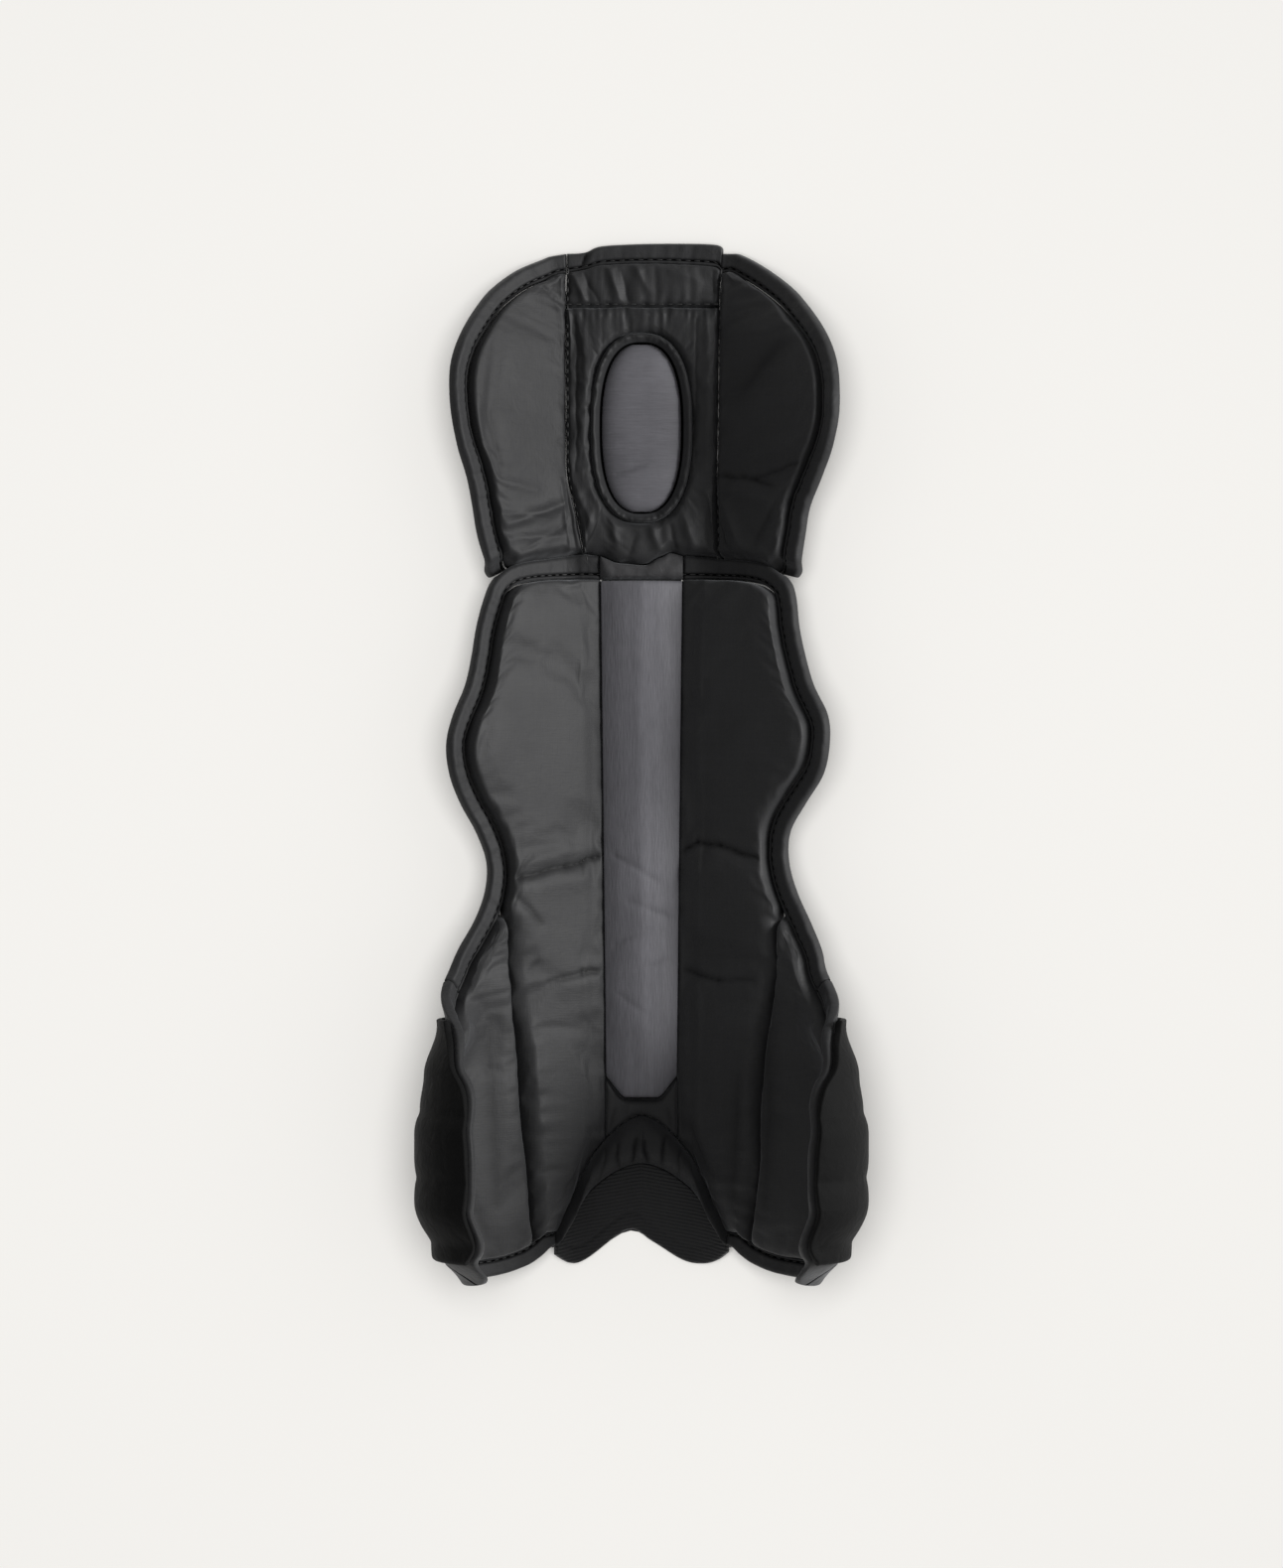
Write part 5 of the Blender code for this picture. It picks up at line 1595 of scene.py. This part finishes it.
class GUARD_OT_knee(bpy.types.Operator):
    """Build the knee's panels and hems with their gathers and stitches"""
    bl_idname = "guard.knee"
    bl_label = "Knee"

    def execute(self, context):
        step = context.scene.guard_cloth.grid / MM
        pieces, runs, ends = [], [], []
        for seed, (side_name, side) in enumerate(SIDES):
            piece, stitches, hem_ends = knee_side(side_name, side, seed, step)
            pieces.append(piece)
            runs.append(stitches)
            ends.append(hem_ends)
        left_seam = [(-across, along) for across, along in knee_seam("left")]
        right_seam = knee_seam("right")

        def hem_line(table, index):
            points = [(share * KNEE_SEAM, SHIN_LENGTH + along * KNEE_LENGTH) for share, along in table]
            return even(through([ends[0][index]] + points + [ends[1][index]]), 1.5)

        hem_top = hem_line(HEM_TOP, 0)
        hem_foot = spaced(hem_line(HEM_FOOT, 1), shares(len(hem_top) - 1))
        runs.append(hem("knee_top_hem", hem_top, hem_foot, 1.0, 31.0, (0, 1.0, -0.8, -0.8)))

        left_x, right_x = (min(seam, key=lambda place: abs(place[1] - GATHER_ALONG))[0]
                           for seam in (left_seam, right_seam))
        gather = even([(left_x, GATHER_ALONG), (right_x, GATHER_ALONG)], 0.9)
        pieces.append(knee_top_panel(hem_foot, gather, left_seam, right_seam))
        pieces.append(knee_centre_panel(gather, left_seam, right_seam))
        filled_pieces(pieces, knee_cloth())

        lift = cushion_height(KNEE_THICKNESS, KNEE_GATHERED, 0.9) + 0.5
        runs.append(run_on([(across, along + 1.0) for across, along in gather[2:-2]], lift))
        for seam in (left_seam, right_seam):
            runs.append(run_on([(across + 1.0, along) for across, along in seam], lift))
        stitched("knee_stitches", runs)
        return {"FINISHED"}


class GUARD_OT_window(bpy.types.Operator):
    """Build the rolled edge of the knee's window and the domed grey insert in it"""
    bl_idname = "guard.window"
    bl_label = "Window"

    def execute(self, context):
        half_width = WINDOW_HALF_WIDTH - TRIM_WIDTH
        half_length = WINDOW_HALF_LENGTH - TRIM_WIDTH

        def on_trim(angle, column):
            turn = Vector((math.cos(angle), math.sin(angle), 0.0))
            across, along = oval(angle, WINDOW_HALF_WIDTH - column * TRIM_WIDTH,
                                 WINDOW_HALF_LENGTH - column * TRIM_WIDTH)
            arc = math.sin(math.pi * column ** 0.62) ** 0.8 if 0.0 < column < 1.0 else 0.0
            wrinkle = 0.7 * noise.noise(turn * 9.0 + Vector((0.0, 0.0, column * 1.5)))
            wrinkle += 0.7 * noise.noise(turn * 19.0 + Vector((0.0, 0.0, column * 2.0 + 3.0)))
            return across, along, TRIM_HEIGHT * mix(0.60 - 0.12 * column, 1.0, arc) + wrinkle * arc

        def on_insert(turn, share):
            half = half_width * (1.0 - abs(turn) ** WINDOW_POWER) ** (1.0 / WINDOW_POWER)
            across, along = share * half, WINDOW_CENTRE + turn * half_length
            dome = math.sqrt(max(0.0, (1.0 - abs(share) ** 2.5) * (1.0 - abs(turn) ** 4)))
            height = mix(INSERT_EDGE_HEIGHT - 1.4, INSERT_DOME, dome)
            height += 0.12 * noise.noise(Vector((across / 14.0, along / 1.4, 2.0))) * dome
            return across, along, height

        angles = [2 * math.pi * step / TRIM_STEPS for step in range(TRIM_STEPS)]
        net, heights = surface(angles, edged(14), on_trim)
        # The trim's innermost columns, beside the insert, get painted shade
        sewn_piece("window_trim", net, heights, knee_cloth(), "black_binding", pad=0.7, wrap=True,
                   leans=(-1.0, 1.3), deep=(12, 13, 14))

        turns = [math.sin(mix(-1.0, 1.0, row) * math.pi / 2) * 0.99 for row in shares(64)]
        net, heights = surface(turns, [2.0 * place - 1.0 for place in edged(30)], on_insert)
        sewn_piece("window_insert", net, heights, slub_cloth(), "grey_fabric", pad=0.7, gap=1.2,
                   leans=(-0.5, -0.5, -0.5, -0.5))
        return {"FINISHED"}


class GUARD_OT_stage(bpy.types.Operator):
    """Set out the pale floor, the soft lights and the camera above the guard"""
    bl_idname = "guard.stage"
    bl_label = "Stage"

    def execute(self, context):
        scene = context.scene
        view = scene.guard_view
        stage = bpy.data.collections.new("guard_stage")
        scene.collection.children.link(stage)
        mesh = bpy.data.meshes.new("floor")
        grid = bmesh.new()
        bmesh.ops.create_grid(grid, x_segments=1, y_segments=1, size=4.0)
        grid.to_mesh(mesh)
        grid.free()
        floor = bpy.data.objects.new("floor", mesh)
        stage.objects.link(floor)
        paint = bpy.data.materials.new("floor_paper")
        paint.use_nodes = True
        shader = paint.node_tree.nodes["Principled BSDF"]
        shader.inputs["Base Color"].default_value = (*scene.guard_colours.floor, 1.0)
        shader.inputs["Roughness"].default_value = 0.9
        shader.inputs["Specular IOR Level"].default_value = 0.0
        mesh.materials.append(paint)

        def lamp(name, power, size, place, aim, receivers):
            light = bpy.data.lights.new(name, "AREA")
            light.shape = "DISK"
            light.energy = power
            light.size = size
            made = bpy.data.objects.new(name, light)
            made.location = place
            made.rotation_euler = (Vector(aim) - Vector(place)).to_track_quat("-Z", "Y").to_euler()
            stage.objects.link(made)
            made.light_linking.receiver_collection = receivers
            return made

        on_floor = bpy.data.collections.new("lit_floor")
        on_floor.objects.link(floor)
        lamp("key", view.key, 0.75, (1.5, 0.25, 0.80), (0.0, 0.0, 0.03), looks())
        over = lamp("floor_light", view.floor_light, 1.6, (0.0, 0.0, 2.6), (0.0, 0.0, 0.0), on_floor)
        over.data.spread = math.radians(160)

        world = bpy.data.worlds.new("studio")
        world.use_nodes = True
        world.node_tree.nodes["Background"].inputs["Color"].default_value = (1.0, 1.0, 1.0, 1.0)
        world.node_tree.nodes["Background"].inputs["Strength"].default_value = view.fill
        scene.world = world

        data = bpy.data.cameras.new("camera")
        data.sensor_width = 36.0
        data.lens = data.sensor_width * view.distance / view.height
        camera = bpy.data.objects.new("camera", data)
        camera.location = (0.0, view.centre, view.distance)
        stage.objects.link(camera)
        scene.camera = camera
        scene.view_settings.view_transform = "Standard"
        scene.view_settings.look = "None"
        return {"FINISHED"}


class GUARD_PT_panel(bpy.types.Panel):
    """The guard's sizes and the buttons that build it"""
    bl_idname = "GUARD_PT_panel"
    bl_label = "Leg guard"
    bl_space_type = "VIEW_3D"
    bl_region_type = "UI"
    bl_category = "Guard"

    def draw(self, context):
        for name in GROUPS:
            box = self.layout.box()
            group = getattr(context.scene, name)
            for key in group.__annotations__:
                box.prop(group, key)
        for name in BUILD_ORDER:
            self.layout.operator("guard." + name)


GROUPS = {"guard_colours": GuardColours, "guard_cloth": GuardCloth, "guard_stitch": GuardStitch,
          "guard_view": GuardView}
OPERATORS = (GUARD_OT_stage, GUARD_OT_shin_pads, GUARD_OT_ankle_wings, GUARD_OT_wing_covers,
             GUARD_OT_shin_hems, GUARD_OT_centre_strip, GUARD_OT_instep, GUARD_OT_knee, GUARD_OT_window)
BUILD_ORDER = [operator.bl_idname.split(".")[1] for operator in OPERATORS]


def register():
    for made in (*GROUPS.values(), *OPERATORS, GUARD_PT_panel):
        bpy.utils.register_class(made)
    for name, group in GROUPS.items():
        setattr(bpy.types.Scene, name, bpy.props.PointerProperty(type=group))


def unregister():
    for name in GROUPS:
        delattr(bpy.types.Scene, name)
    for made in reversed((*GROUPS.values(), *OPERATORS, GUARD_PT_panel)):
        bpy.utils.unregister_class(made)


def main():
    register()
    for name in BUILD_ORDER:
        getattr(bpy.ops.guard, name)()


if __name__ == "__main__":
    main()
